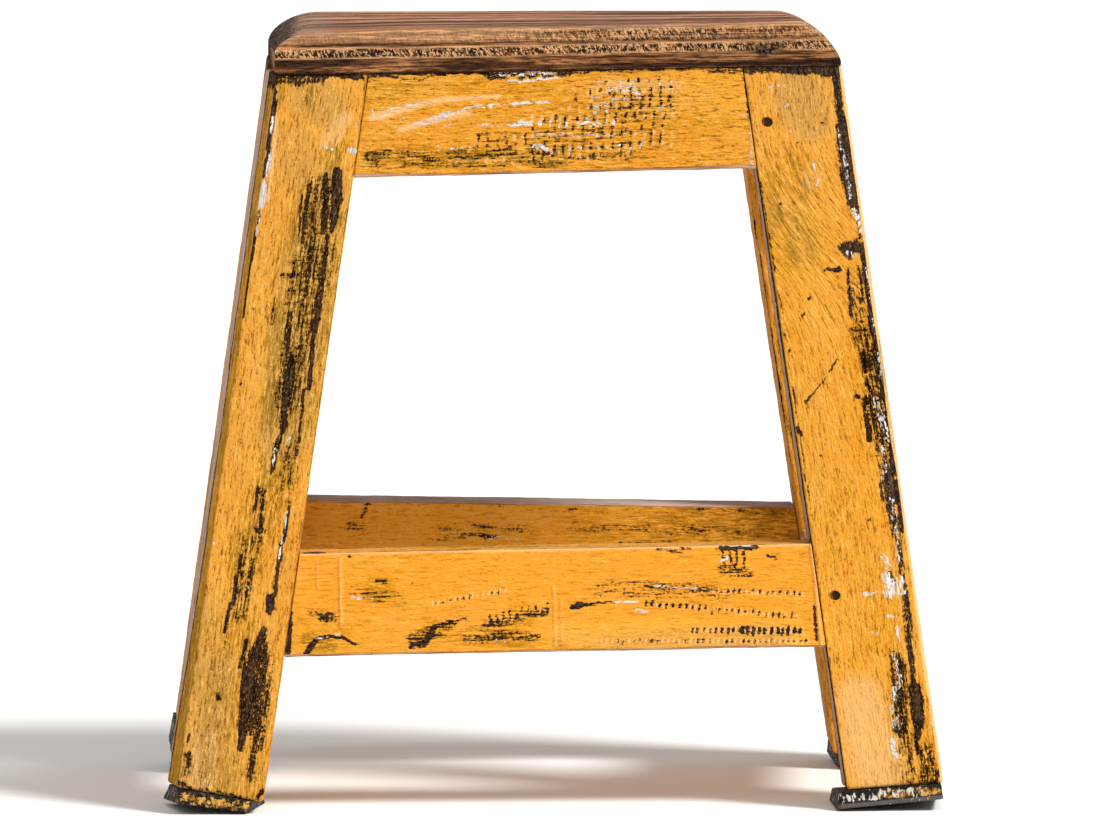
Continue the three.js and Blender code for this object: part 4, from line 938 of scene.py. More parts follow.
# pin ends are near-black: dark end grain and painted shade of the sunk holes
PINM = plain_wood("pin_end_grain", rgb(12, 9, 7), rgb(60, 42, 26))
DOWELM = plain_wood("dowel_beech", rgb(168, 122, 78), rgb(214, 172, 122))
NAILM = nail_finish()

for name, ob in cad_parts.items():
    use = PINM if name.startswith("pin_") else DOWELM if name.startswith("dowel_") else NAILM if name.startswith("nail_") else PADM if name.startswith("foot_") else PLANK if name.startswith("seat") else PAINT
    ob.data.materials.clear()
    ob.data.materials.append(use)


# ----------------------------------------------------------- attributes common
def finish_piece(piece, seed, disp, sanded, front=None, curve=None, amount=1.0, sides=(0, 1, 2, 3), tone=None, slot="painted_wood", replaced=(), base_wear=-0.22):
    """Wear, tone and grain attributes of a painted piece, then its mesh."""
    n = len(piece["s"])
    g = np.stack([piece["s"], piece["a"], piece["b"]], 1)
    px = seen_at(piece["base"])
    c = dict(dark=base_wear + 0.16 * fbm(g * (0.01, 0.03, 0.03), 3, seed + 5), white=-0.95 + 0.12 * fbm(g * (0.012, 0.04, 0.04), 3, seed + 6))
    shown = (piece["out"][:, 1] < -0.25) if front else np.zeros(n, bool)
    rd, rw = random_wear(piece, seed, amount, sides)
    c["dark"] = np.where(~shown, np.maximum(c["dark"], rd), c["dark"])
    c["white"] = np.where(~shown, np.maximum(c["white"], rw), c["white"])
    ridge, tick = np.zeros(n), np.zeros(n)
    if front:
        q = px[shown]
        rough = np.stack([q[:, 0] * 0.13, q[:, 1] * 0.09, q[:, 0] * 0], 1)
        q = q + np.stack([1.1 * fbm(rough, 3, seed + 71), 3.2 * fbm(rough * (1.3, 1.0, 1.0), 3, seed + 72)], 1) * (1.0 if front != "stretcher_front" else 0.5)
        deep, chalk = brushed(q, DARK.get(front, [])), brushed(q, WHITE.get(front, []))
        deep, chalk = deep * BITE.get(front, (1, 1))[0], chalk * BITE.get(front, (1, 1))[1]
        deep = np.where(deep > 0.85, 0.85 + 0.4 * (deep - 0.85), deep) - 0.24 * smooth(0.25, 0.0, deep)
        chalk = np.where(chalk > 0.72, 0.72 + 0.4 * (chalk - 0.72), chalk) - 0.9 * smooth(0.3, 0.0, chalk)
        c["dark"][shown] = np.maximum(c["dark"][shown], deep)
        c["white"][shown] = np.maximum(c["white"][shown], chalk)
        for lift, line in RIDGE.get(front, []):
            ridge[shown] += lift * brushed(q, [(1.0, line)])
        if front in TICKS:
            rows_at, step, size, lift = TICKS[front]
            tick[shown] = tick_rows(q, rows_at, step, size)
            ridge[shown] += lift * tick[shown]
    edge, ends = edges(piece, sanded, seed)
    c["edge"] = np.clip(edge, 0, 1.2)
    c["tint"] = 1.4 * fbm(g * (0.009, 0.028, 0.028), 2, seed + 7)
    c["dirt"] = smooth(0.1, 0.6, fbm(g * (0.014, 0.05, 0.05), 3, seed + 8))
    # coat: strength of the brush relief and of its painted shade and highlight. Raised ticks and ridges are painted
    # lighter as painted highlight; the troughs between ticks darker as painted shade.
    c["coat"] = np.ones(n)
    c["pale"] = np.clip(0.9 * np.clip(tick, 0, 1) + 0.5 * np.clip(ridge, 0, 1), 0, 1)
    c["dirt"] = np.maximum(c["dirt"], np.clip(-1.2 * tick, 0, 1))
    if tone is not None:
        tone(piece, px, shown, c)
    across = np.where(piece["k"] % 2 == 0, piece["a"], piece["b"])
    deep = np.where(piece["k"] % 2 == 0, piece["b"], piece["a"])
    sway = 2.6 * fbm(g * (0.012, 0.03, 0.03), 2, seed + 9)
    bend = np.zeros(n) if curve is None else curve(piece["s"], across)
    brush = np.stack([piece["s"] + seed * 13.7, across + sway + bend, deep + sway], 1)
    grain = g + (seed * 37.1, seed * 5.3, seed * 3.1)
    grain[:, 1] += 1.6 * fbm(g * (0.012, 0.02, 0.02), 2, seed + 10)
    attributes = {"grain": grain, "brush": brush, "wear": np.stack([c["dark"], c["white"], c["edge"]], 1), "tone": np.stack([c["tint"], c["dirt"], c["pale"]], 1), "coat": c["coat"]}
    sunk = -0.14 * smooth(0.45, 1.0, c["dark"]) - 0.05 * smooth(0.4, 0.9, c["edge"])
    return make(piece, disp + ridge + np.where(piece["k"] >= 0, sunk, 0), attributes, PAINT, replaced)


def seat_floor(x, y):
    """Height of the plank's underside: the plank has a slight twist and lifts at the front right."""
    lift = 4.4 * smooth(-150, 165, x) * smooth(60, -85, y)
    return LEG_TOP + GAP + lift


# ----------------------------------------------------------------------- legs
def face_x(line, z):
    return line[0] + line[1] * (LEG_TOP - z)


def face_y(z):
    return HALF_DEPTH + LEAN_Y * (LEG_TOP - z)


def tenon_top(name):
    R = RAILS[name]
    h = R["top"][0] - R["bottom"][0]
    return h, min(h - 9, 385 - R["bottom"][0]) if R["top"][0] >= LEG_TOP else h - 9


def pin_place(name, end):
    """Centre of a pin's head on the leg's outer face: (x or y along that face, z)."""
    legA, legB, way, side = RUNS[name]
    L = LEGS[legA if end < 0 else legB]
    R = RAILS[name]
    h, capped = tenon_top(name)
    v = capped - 6.5 if way == "x" and R["top"][0] >= LEG_TOP else (9 + capped) / 2
    z, x, y = 300.0, 0.0, 0.0
    for _ in range(12):
        if way == "x":
            x = end * (face_x(L["inner"], z) + 10.5)
            q = x
        else:
            y = end * (face_y(z) - LEG_DEPTH + 10.5)
            q = y
        lo, hi = R["bottom"][0] + R["bottom"][1] * q, R["top"][0] + R["top"][1] * q
        z = lo + v if v < h / 2 else hi + (v - h)
    return (x, z) if way == "x" else (y, z)


def outer_x(L, z, b):
    return face_x(L["outer"], z) + L["flare"] * b / LEG_DEPTH


def make_leg(key, seed, cells, cell_s, radii, sanded, tops, holes_on, glow=0.0, **more):
    L = LEGS[key]
    sx, sy = L["sx"], L["sy"]
    cut = L["cut"]

    def wider(z, b):
        plain = face_x(L["outer"], z) - face_x(L["inner"], z)
        return (plain + glow + L["flare"] * b / LEG_DEPTH) / plain

    def put(a, b, v):
        z = 8 + (405 - 8) * v
        for _ in range(5):
            x, y = outer_x(L, z, b) + glow - a * wider(z, b), face_y(z) - b
            low = cut[0] + cut[3] * (x - cut[1]) + cut[4] * (y - cut[2])
            top = seat_floor(sx * x, sy * y) - GAP if tops else LEG_TOP
            z = low + (top - low) * v
        return np.stack([sx * (outer_x(L, z, b) + glow - a * wider(z, b)), sy * (face_y(z) - b), z], 1)

    def size(v):
        z = 8 + (405 - 8) * v
        return face_x(L["outer"], z) - face_x(L["inner"], z), np.full(len(v), LEG_DEPTH)

    def radius(v, s):
        out = []
        for i, r in enumerate(radii):
            out.append(r * (1 + 0.28 * noise(np.stack([s * 0.03, np.full(len(s), i * 9.1 + seed), s * 0], 1), seed)))
        return np.clip(np.stack(out, 1), 0.5, 6)

    length = 400.0
    holes = []
    for name, end in holes_on:
        q, z = pin_place(name, end)
        s = (z - 8) / (405 - 8) * length
        if RUNS[name][2] == "x":
            t = face_x(L["outer"], z) - abs(q)
            holes.append((0, t * 50.6 / (face_x(L["outer"], z) - face_x(L["inner"], z)), s, 2.75, 2.4))
        else:
            b = face_y(z) - abs(q)
            holes.append((3, LEG_DEPTH - b, s, 2.75, 2.4 + (L["flare"] > 0) * 0.3))
    # exact height of each hole: the bar's rows are measured between the end cuts
    fixed = []
    for k, t, s, r, deep in holes:
        a = np.array([t if k == 0 else 0.0])
        b = np.array([0.0 if k == 0 else LEG_DEPTH - t])
        want = None
        for name, end in holes_on:
            q, z = pin_place(name, end)
            if abs((z - 8) / 397 * length - s) < 1e-6:
                want = z
        v = s / length
        for _ in range(8):
            v += (want - put(a, b, np.array([v]))[0, 2]) / 397
        fixed.append((k, t, v * length, r, deep))
    piece = bar("painted_leg_" + key, 50.6, LEG_DEPTH, length, put, size, radius, cells, cell_s, (2.2, 0.8), fixed)
    disp = hand_worn(piece, seed)
    return finish_piece(piece, seed, disp, sanded, replaced=("leg_" + key,), **more)


def most(c, key, value, where=True):
    c[key] = np.where(where, np.maximum(c[key], value), c[key])


def tone_fl(piece, px, shown, c):
    y = px[:, 1]
    dull = brushed(px, [(1.0, [(312, 95, 50), (330, 105, 40)]), (0.6, [(290, 140, 40), (300, 170, 40)]), (0.9, [(330, 190, 40), (300, 330, 60), (280, 430, 50)]), (0.8, [(225, 680, 50), (220, 770, 60)])])
    c["tint"] = np.where(shown, c["tint"] * 0.6 - 0.8 * dull + 0.7 * brushed(px, [(1.0, [(250, 300, 40), (225, 430, 50), (215, 560, 50)]), (0.8, [(310, 520, 30), (290, 620, 30)])]), c["tint"])
    most(c, "dirt", brushed(px, [(0.9, [(311, 92, 14), (309, 100, 12)]), (0.8, [(330, 160, 20), (340, 150, 20)]), (0.8, [(320, 200, 50), (300, 320, 60), (285, 420, 50)]), (0.7, [(275, 470, 40), (245, 560, 40)]), (0.5, [(235, 640, 60), (225, 770, 70)])]), shown)
    # the last stroke on the next line is a painted highlight along the front outer arris
    most(c, "pale", brushed(px, [(0.5, [(345, 118, 16), (330, 140, 22)]), (0.4, [(205, 740, 30), (200, 780, 30)]), (0.9, [(277, 88, 3), (275, 140, 3), (268, 200, 3)])]), shown)
    c["coat"] = np.where(shown, 1.15, 1.0)
    most(c, "pale", 0.14, shown)
    outer = (piece["k"] == 3)
    wander = 3.0 * fbm(np.stack([piece["s"] * 0.03, piece["s"] * 0, piece["s"] * 0], 1), 3, 91)
    bare_to = 3 + 15 * smooth(0, 120, piece["s"]) + wander
    c["dirt"] = np.where(outer, 0.85, c["dirt"])
    c["tint"] = np.where(outer, 0.5 + 0.4 * c["tint"], c["tint"])
    c["dark"] = np.where(outer & ~shown, np.minimum(c["dark"], 0.3), c["dark"])
    c["edge"] = np.where(outer & (piece["t"] > bare_to), np.minimum(c["edge"], 0.12), c["edge"])
    bare = outer & (piece["t"] <= bare_to)
    most(c, "edge", 0.95, bare)
    most(c, "pale", 1.0, bare | (piece["k"] == 2) & (piece["t"] > 40))
    # a dark line between the bare strip and the painted part of the outer face is painted shade
    most(c, "dark", 0.7, outer & (np.abs(piece["t"] - bare_to - 3) < 2.2))
    # the top of the outer face goes black: dark bare wood and painted shade under the seat
    most(c, "dark", 1.3 * smooth(390, 399, piece["s"] - 1.5 * wander), outer)


def tone_fr(piece, px, shown, c):
    high = brushed(px, [(1.0, [(800, 95, 60), (815, 120, 44)]), (0.6, [(780, 210, 40), (800, 250, 40)])])
    c["tint"] = np.where(shown, c["tint"] * 0.5 + 0.25 - 1.2 * high, c["tint"])
    c["dirt"] = np.where(shown, 0.35 * c["dirt"], c["dirt"])
    most(c, "dirt", brushed(px, [(0.9, [(785, 210, 22), (795, 225, 16)]), (0.8, [(770, 235, 12)]), (0.6, [(812, 205, 12)]), (0.55, [(790, 180, 60), (800, 250, 60)]), (0.6, [(870, 340, 40), (880, 440, 40)]), (0.5, [(905, 700, 50), (912, 770, 50)])]), shown)
    most(c, "pale", brushed(px, [(0.55, [(860, 700, 50), (880, 770, 60)]), (0.3, [(810, 180, 30)])]), shown)
    # painted highlight: the outer front arris is cream and free of marks
    rim = (piece["k"] == 3) & (piece["t"] > LEG_DEPTH - 3.4) | (piece["k"] == 0) & (piece["t"] < 1.7)
    most(c, "pale", 1.0, rim)
    c["coat"] = np.where(shown & ~rim, 1.0 + 0.15 * smooth(330, 120, px[:, 1]), c["coat"])
    most(c, "pale", 0.05 + 0.12 * smooth(330, 120, px[:, 1]), shown)
    c["dark"] = np.where(rim, -0.6, c["dark"])
    c["white"] = np.where(rim, -0.6, c["white"])
    c["edge"] = np.where(rim, -0.3, c["edge"])
    # inner side: bare lilac wood in the middle; the dark bands at both of its ends are painted shade
    inner = (piece["k"] == 1) & (piece["t"] > 1.2)
    most(c, "pale", 1.0, inner)
    most(c, "edge", 0.95, inner & (piece["t"] < LEG_DEPTH - 2) & (piece["t"] > 19) & (piece["t"] < 42))
    most(c, "dirt", 1.0, inner)
    c["dark"] = np.where(inner & (piece["t"] > 19) & (piece["t"] < 42), np.minimum(c["dark"], 0.1), c["dark"])
    most(c, "dark", 0.85, inner & ((piece["t"] <= 17) | (piece["t"] > 43)))


def tone_rr(piece, px, shown, c):
    face = (piece["k"] == 2) | (piece["k"] == 1)
    c["dirt"] = np.where(face, 0.25, c["dirt"])
    c["tint"] = np.where(face, 0.5, c["tint"])
    c["edge"] = np.where(face, np.minimum(c["edge"], 0.1), c["edge"])
    c["dark"] = np.where(face, np.minimum(c["dark"], 0.55), c["dark"])
    most(c, "dark", 0.8, (piece["k"] == 1) & (piece["t"] < 5))


def tone_rl(piece, px, shown, c):
    # dark near the top of the inner and outer faces: dark bare wood and painted shade under the seat
    ragged = piece["s"] + 9 * fbm(np.stack([piece["s"] * 0.02, piece["a"] * 0.16, piece["b"] * 0.16], 1), 2, 93)
    high = np.where(piece["k"] == 2, smooth(378, 388, ragged), np.where(piece["k"] == 3, smooth(386, 397, ragged), 0.0))
    most(c, "dark", 1.4 * high)
    c["white"] = c["white"] - 0.9 * high
    c["edge"] = c["edge"] - 1.2 * high


def tone_apron(piece, px, shown, c):
    c["tint"] = np.where(shown, c["tint"] * 0.4 + 0.5 - 1.0 * brushed(px, [(1.0, [(380, 92, 26), (450, 84, 18)])]), c["tint"])
    c["dirt"] = np.where(shown, c["dirt"] * 0.4, c["dirt"])
    c["coat"] = np.where(shown, 1.05, 1.0)
    most(c, "dirt", brushed(px, [(0.5, [(365, 95, 20), (420, 88, 14)]), (0.8, [(370, 155, 18), (440, 158, 18), (560, 158, 18)]), (0.4, [(560, 130, 50), (650, 120, 60)])]), shown)
    most(c, "pale", brushed(px, [(0.8, [(372, 118, 8), (400, 110, 8), (440, 100, 6), (500, 96, 4)]), (0.75, [(400, 130, 6), (440, 118, 8), (470, 112, 6)]), (0.45, [(600, 82, 8), (680, 84, 8)])]), shown)


def tone_stretcher(piece, px, shown, c):
    c["tint"] = np.where(shown, c["tint"] * 0.4 + 1.0 - 1.4 * brushed(px, [(1.0, [(560, 640, 30), (780, 636, 40)])]), c["tint"])
    c["dirt"] = np.where(shown, c["dirt"] * 0.3, c["dirt"])
    c["coat"] = np.where(shown, 0.5, 1.0)
    most(c, "dirt", brushed(px, [(1.0, [(308, 640, 16), (330, 644, 16)]), (0.7, [(430, 630, 24), (520, 640, 16)]), (0.6, [(520, 615, 30)]), (0.6, [(380, 590, 30)])]), shown)
    # painted highlight along the top front arris
    most(c, "pale", 0.9, (piece["k"] == 1) & (piece["t"] < 1.6) | (piece["k"] == 0) & (piece["t"] > piece["a0"] - 1.4))


def tone_rear(piece, px, shown, c):
    c["dirt"] = np.where(shown, 0.1 + 0.75 * smooth(500, 780, px[:, 0]), c["dirt"])
    c["coat"] = np.where(shown, 0.6, 1.0)
    c["tint"] = np.where(shown, c["tint"] * 0.5 + 0.2, c["tint"])
    most(c, "pale", 0.8, piece["k"] == 1)
    most(c, "edge", 0.9, piece["k"] == 1)


def curve_fr(s, across):
    """Brush strokes that swing across the upper part of the leg and hang straight below."""
    return -0.62 * 48 * np.tanh((s - 300) / 48) + 1.2 * np.sin(s * 0.05)


make_leg("front_left", 3, (0.9, 2.0, 2.4, 1.5), 1.05, (1.5, 1.6, 2.6, 3.2), (0.12, 0.3, 0.7, 1.05), True,
         [("apron_left", -1), ("stretcher_left", -1)], front="leg_front_left", sides=(1, 2, 3), tone=tone_fl)
make_leg("front_right", 5, (0.9, 1.9, 2.4, 1.8), 1.05, (2.4, 1.2, 1.8, 2.8), (0.1, 0.2, 0.8, 0.85), True,
         [("apron_front", 1), ("stretcher_front", 1), ("apron_right", -1), ("stretcher_right", -1)], glow=0.2, front="leg_front_right", sides=(1, 2, 3), tone=tone_fr, curve=curve_fr)
make_leg("rear_left", 7, (2.0, 2.0, 2.0, 1.8), 1.9, (2.4, 2.2, 2.2, 3.6), (0.7, 0.7, 0.7, 1.0), False,
         [("apron_rear", -1), ("stretcher_rear", -1), ("apron_left", 1), ("stretcher_left", 1)], tone=tone_rl)
make_leg("rear_right", 9, (2.0, 1.8, 1.3, 2.0), 1.6, (2.4, 2.2, 1.6, 2.6), (0.7, 0.7, 0.05, 0.5), False,
         [("apron_rear", 1), ("stretcher_rear", 1), ("apron_right", 1), ("stretcher_right", 1)], front="leg_rear_right", tone=tone_rr)


# ---------------------------------------------------------------------- rails
def make_rail(name, seed, cells, cell_s, radii, sanded, tall_to_seat=False, **more):
    legA, legB, way, side = RUNS[name]
    LA, LB = LEGS[legA], LEGS[legB]
    R = RAILS[name]

    if way == "x":
        mid = (R["bottom"][0] + R["top"][0]) / 2
        length = face_x(LA["inner"], mid) + face_x(LB["inner"], mid) - 2 * GAP
    else:
        mid = (R["bottom"][0] + R["top"][0]) / 2
        length = 2 * (face_y(mid) - LEG_DEPTH) - 2 * GAP
    h0 = R["top"][0] - R["bottom"][0]

    def span_at(q, x=None, y=None):
        lo = R["bottom"][0] + R["bottom"][1] * q
        hi = R["top"][0] + R["top"][1] * q
        return lo, hi

    def put(a, b, v):
        f = a / h0
        z = R["bottom"][0] + a
        x = np.zeros(len(a))
        y = np.zeros(len(a))
        for _ in range(6):
            if way == "x":
                x0, x1 = -(face_x(LA["inner"], z) - GAP), face_x(LB["inner"], z) - GAP
                x = x0 + (x1 - x0) * v
                y = side * (face_y(z) - b)
                lo, hi = span_at(x)
                if tall_to_seat:
                    hi = seat_floor(x, y) - GAP
            else:
                yr = face_y(z) - LEG_DEPTH - GAP
                y = -yr + 2 * yr * v
                k = v
                inner = (1 - k) * face_x(LA["inner"], z) + k * face_x(LB["inner"], z)
                x = side * (inner + b)
                lo, hi = span_at(y)
                if tall_to_seat:
                    hi = seat_floor(x, y) - GAP
            z = lo + f * (hi - lo)
        return np.stack([x, y, z], 1)

    def size(v):
        return np.full(len(v), h0), np.full(len(v), R["thick"])

    def radius(v, s):
        out = []
        for i, r in enumerate(radii):
            out.append(r * (1 + 0.25 * noise(np.stack([s * 0.035, np.full(len(s), i * 9.1 + seed), s * 0], 1), seed)))
        return np.clip(np.stack(out, 1), 0.4, 6)

    piece = bar("painted_" + name, h0, R["thick"], length, put, size, radius, cells, cell_s, (0.7, 0.7), caps=("tenon", "tenon"))
    disp = hand_worn(piece, seed, wave=0.24)
    return finish_piece(piece, seed, disp, sanded, replaced=(name,), **more)


# corners: 0 lower outer, 1 upper outer, 2 upper inner, 3 lower inner
make_rail("apron_front", 11, (0.78, 2.4, 2.4, 1.6), 0.84, (2.7, 0.6, 1.5, 2.6), (1.0, 0.0, 0.4, 0.9), True, front="apron_front", sides=(1, 2, 3), tone=tone_apron)
make_rail("apron_rear", 13, (1.5, 1.6, 1.5, 1.5), 1.4, (2.4, 0.8, 1.5, 2.4), (0.9, 0.2, 0.3, 0.9))
make_rail("stretcher_front", 17, (0.8, 1.8, 2.4, 2.0), 0.84, (2.0, 1.7, 2.0, 2.0), (0.75, 0.1, 0.5, 0.8), False, front="stretcher_front", sides=(1, 2, 3), tone=tone_stretcher)
make_rail("stretcher_rear", 19, (1.8, 1.8, 1.3, 1.8), 1.4, (2.0, 1.6, 1.4, 2.0), (0.8, 0.8, 0.9, 0.8), False, front="stretcher_rear", tone=tone_rear, sides=(0, 1, 2, 3))
make_rail("apron_left", 23, (1.6, 1.6, 1.6, 1.6), 1.5, (2.2, 0.8, 0.8, 2.2), (0.9, 0.2, 0.2, 0.9), True)
make_rail("apron_right", 29, (1.6, 1.6, 1.6, 1.6), 1.5, (2.2, 0.8, 0.8, 2.2), (0.9, 0.2, 0.2, 0.9), True)
make_rail("stretcher_left", 31, (1.6, 1.6, 1.6, 1.6), 1.5, (2.0, 2.0, 2.2, 2.0), (0.8, 0.7, 0.8, 0.8))
make_rail("stretcher_right", 37, (1.6, 1.6, 1.6, 1.6), 1.5, (2.0, 2.0, 2.2, 2.0), (0.8, 0.7, 0.8, 0.8))


# ----------------------------------------------------------------------- seat
def make_seat():
    S = SEAT
    rows_s, prof = [], []
    n = 16
    rl, rr = S["round_left"], S["round_right"]
    for i in range(n + 1):
        q = i / n * math.pi / 2
        rows_s.append(rl[0] * (1 - math.cos(q)))
        prof.append(24.7 - 0.5 * rl[1] * (1 - math.sin(q)))
    long = S["right"] - S["left"]
    m = round((long - rl[0] - rr[0]) / 1.15)
    for i in range(1, m):
        rows_s.append(rl[0] + (long - rl[0] - rr[0]) * i / m)
        prof.append(24.7)
    for i in range(n + 1):
        q = (1 - i / n) * math.pi / 2
        rows_s.append(long - rr[0] * (1 - math.cos(q)))
        prof.append(24.7 - 0.5 * rr[1] * (1 - math.sin(q)))
    rows_s, prof = np.array(rows_s), np.array(prof)
    inset = np.zeros(len(rows_s))
    inset[0], inset[-1] = 0.5, 0.5
    wide = S["back"] - S["front"]

    def height(v):
        return np.interp(v * long, rows_s, prof)

    def over(x, y):
        """How far the round-overs of the two ends lower the top at x, y; and how level it is there."""
        w = np.clip((y + 88) / 176, 0, 1)
        drop, level = np.zeros(len(x)), np.ones(len(x))
        for u, rx, ry, n in ((x - S["left"] - 0.8, 15.8 + 12.2 * w, 11.1 + 6.4 * w, 1.48 + 0.32 * w), (S["right"] - x, 22.5 + 4.5 * w, 23.0 - 1.0 * w, 1.42 + 0.5 * w)):
            q = np.clip(1 - u / rx, 0, 1)
            drop = np.maximum(drop, ry * (1 - (1 - q ** n) ** (1 / n)))
            level = np.minimum(level, np.sqrt(1 - q * q))
        return drop, level

    def put(a, b, v):
        x = S["left"] + long * v
        x = x + 0.8 * smooth(S["left"] + 12, S["left"], x)
        y = S["front"] + a
        # twist: the top edge at the front climbs from left to right
        front = smooth(60, -88, y)
        up = np.interp(x, [-156, -140, -118, -105, -83, 0, 131, 157], [-2.0, -1.8, -0.9, -0.5, 0.4, 1.2, 3.7, 3.9]) * front + np.interp(y, [-88, 20, 88], [0, 0.1, -0.6])
        low = seat_floor(x, y)
        hN = height(v)
        full = (430.0 + up - low) * (1 - over(x, y)[0] / 24.7)
        z = low + (hN - b) / hN * full
        return np.stack([x, y, z], 1)

    def size(v):
        return np.full(len(v), wide), height(v)

    def radius(v, s):
        w = np.stack([s * 0.04, s * 0, s * 0], 1)
        r0 = 0.9 + 0.3 * noise(w, 41)
        r1 = 1.6 + 0.5 * noise(w, 42)
        r = np.stack([r0, r1, np.full(len(s), 0.7), np.full(len(s), 0.7)], 1)
        ends = np.minimum(v, 1 - v) * long
        r[:, 0] = np.minimum(r[:, 0], 0.35 + 0.03 * ends)
        return r

    piece = bar("seat_board", wide, 24.7, long, put, size, radius, (2.2, 1.6, 3.0, 0.8), 1.15, (0, 0), rows=(rows_s, inset), zone=1.6)
    k = piece["k"]
    x, y, z = piece["base"].T
    f = 1 - piece["b"] / height(piece["v"])  # 0 at the underside, 1 at the top
    g = np.stack([x, y, z - 417], 1)
    soft = fbm(g * (0.01, 0.02, 0.02), 2, 61) * 0.3
    fibre = fbm(g * (0.03, 0.3, 0.3), 2, 62) * 0.14
    # height on the edge without the round-over, so that the saw's rows run straight
    low_z = seat_floor(x, y)
    F = (z - low_z) / (430.0 - low_z + np.interp(x, [-156, -105, 0, 157], [-2.6, -1.2, 1.0, 3.8]))
    F = F + 0.014 * fbm(np.stack([x * 0.02, x * 0, x * 0 + 5.0], 1), 3, 68)
    right = smooth(-70, 40, x)

    def row(at, wide):
        return np.exp(-(((F - at) / wide) ** 2))

    def lane(lo, hi, soft=0.02):
        return smooth(lo - soft, lo + soft, F) * smooth(hi + soft, hi - soft, F)

    on_front = piece["out"][:, 1] < -0.5
    on_top = piece["out"][:, 2] > 0.5
    fr = on_front
    side = ~fr & ~on_top & (k >= 0)
    along_it = smooth(-118, -45, x)
    F = F + 0.033 * along_it
    midway = along_it * (1 - right)
    left = 1 - along_it
    saw = lane(0.415, 0.585)
    uneven = 0.8 + 0.3 * fbm(g * (0.04, 0, 0.1), 2, 64)
    teeth = np.where(fr, (saw * (1 - 0.15 * right) + right * 0.32 * lane(0.69, 0.97) + (1 - right) * 0.1 * lane(0.74, 0.97) + 0.06) * uneven, 0.06)
    brown = 0.2 + 0.3 * noise(g * (0.03, 0, 0.2), 65)
    # dark bands and lines on the front; the dark lanes across its lower part are partly painted shade under the upper
    # front
    shade = np.where(fr, np.maximum.reduce([
        (0.95 - 0.35 * right) * row(0.705, 0.018), left * 1.0 * lane(0.19, 0.375), midway * 1.0 * lane(0.08, 0.375), right * 0.6 * lane(0.15, 0.375), right * 1.0 * lane(-0.1, 0.17),
        left * (0.3 + brown) * lane(0.05, 0.24), (0.5 - 0.35 * right) * row(0.83, 0.03) * (0.4 + noise(g * (0.02, 0, 0), 67)), 1.0 * smooth(0.085, 0.04, F), (0.3 + 0.2 * right) * row(0.66, 0.03)]), 0.0)
    # light: paler lines along the saw row; the lighter top of the front and its top arris are painted highlight
    light = np.where(fr, np.maximum.reduce([
        (0.7 + 0.2 * along_it) * row(0.635, 0.016), 0.65 * row(0.395, 0.014), (1 - right) * 0.3 * lane(0.75, 0.97), 0.3 * smooth(0.93, 0.99, F), right * 0.3 * row(0.76, 0.02)]), 0.0)
    arris = fr & (piece["b"] < 2.6)
    light = np.where(arris, np.maximum(light, 0.4), light)
    teeth[side] = 0.35
    shade[side] = (0.35 + 0.25 * noise(g * (0.02, 0.02, 0.1), 66))[side]
    tick = 0.22 * saw * fr * np.sin(2 * math.pi * x / 3.1 + 2 * noise(g * (0.1, 0.1, 0.1), 63))
    groove = -0.35 * np.where(fr, (1 - right) * lane(0.24, 0.36) + right * lane(0.02, 0.13), 0)
    disp = np.where(k >= 0, soft + fibre, 0) + tick + groove
    # knot near the right of the front edge
    px = seen_at(piece["base"])
    knot = brushed(px, [(1.0, [(758, 52, 5), (766, 51, 8), (772, 51, 6)]), (0.4, [(750, 47, 10), (780, 46, 10)])]) * fr
    shade = np.maximum(shade, knot)
    slope = over(x, y)[1]
    black_and_shade = np.where((x < 0) & ~fr & (k >= 0), 0.97 * smooth(0.995, 0.86, slope), 0.0)
    black_and_shade = np.maximum(black_and_shade, np.where((x > 0) & ~fr & (k >= 0), 0.3 * smooth(0.8, 0.4, slope), 0.0))
    black_and_shade = np.maximum(black_and_shade, 0.85 * smooth(0.05, 0.0, F) * fr)
    black_and_shade = np.maximum(black_and_shade, knot * 0.8)
    # black at the lower left end: dark end grain and painted shade over the leg below
    black_and_shade = np.maximum(black_and_shade, 0.9 * brushed(px, [(1.0, [(268, 42, 5), (269, 60, 6), (272, 76, 6)])]) * (x < -140))
    dusty = np.where((x < -112) & on_top, 0.8 * smooth(-112, -135, x), 0.0)
    # faint rows of chatter on top
    lines = on_top * (0.55 * noise(g * (0.09, 0.09, 0), 84) * np.exp(-(((y - 40 - 3 * noise(g * (0.03, 0, 0), 85)) / 5.0) ** 2)) * smooth(-135, -120, x) * smooth(-30, -70, x))
    light = np.maximum(light, lines * (0.6 + 0.6 * np.sin(x * 1.9)))
    shade = np.maximum(shade, on_top * 0.42 * np.exp(-(((y + 52) / 13) ** 2)) * (0.5 + 0.6 * noise(g * (0.012, 0, 0), 69)) * (x > -125))
    shade = np.maximum(shade, on_top * 0.5 * np.exp(-(((y - 42 - 14 * smooth(-40, 80, x)) / 5.0) ** 2)) * smooth(-80, -20, x) * (0.6 + 0.5 * noise(g * (0.2, 0, 0), 70)))
    for at, wide, much, seed in ((50, 12.0, 0.95, 81), (2, 10.0, 0.95, 82), (-38, 9.0, 0.6, 83)):
        shade = np.maximum(shade, on_top * much * smooth(-30, 60, x) * np.exp(-(((y - at - 6 * np.sin(x * 0.012 + seed)) / wide) ** 2)) * (0.55 + 0.6 * noise(g * (0.03, 0, 0), seed)))
    grime = np.clip(dusty, 0, 1)
    piece["grainv"] = g
    attributes = {"grain": g, "wear": np.stack([teeth, shade, light], 1), "tone": np.stack([on_top * 1.0, black_and_shade, grime], 1)}
    return make(piece, disp, attributes, PLANK, ("seat_plank",))


make_seat()


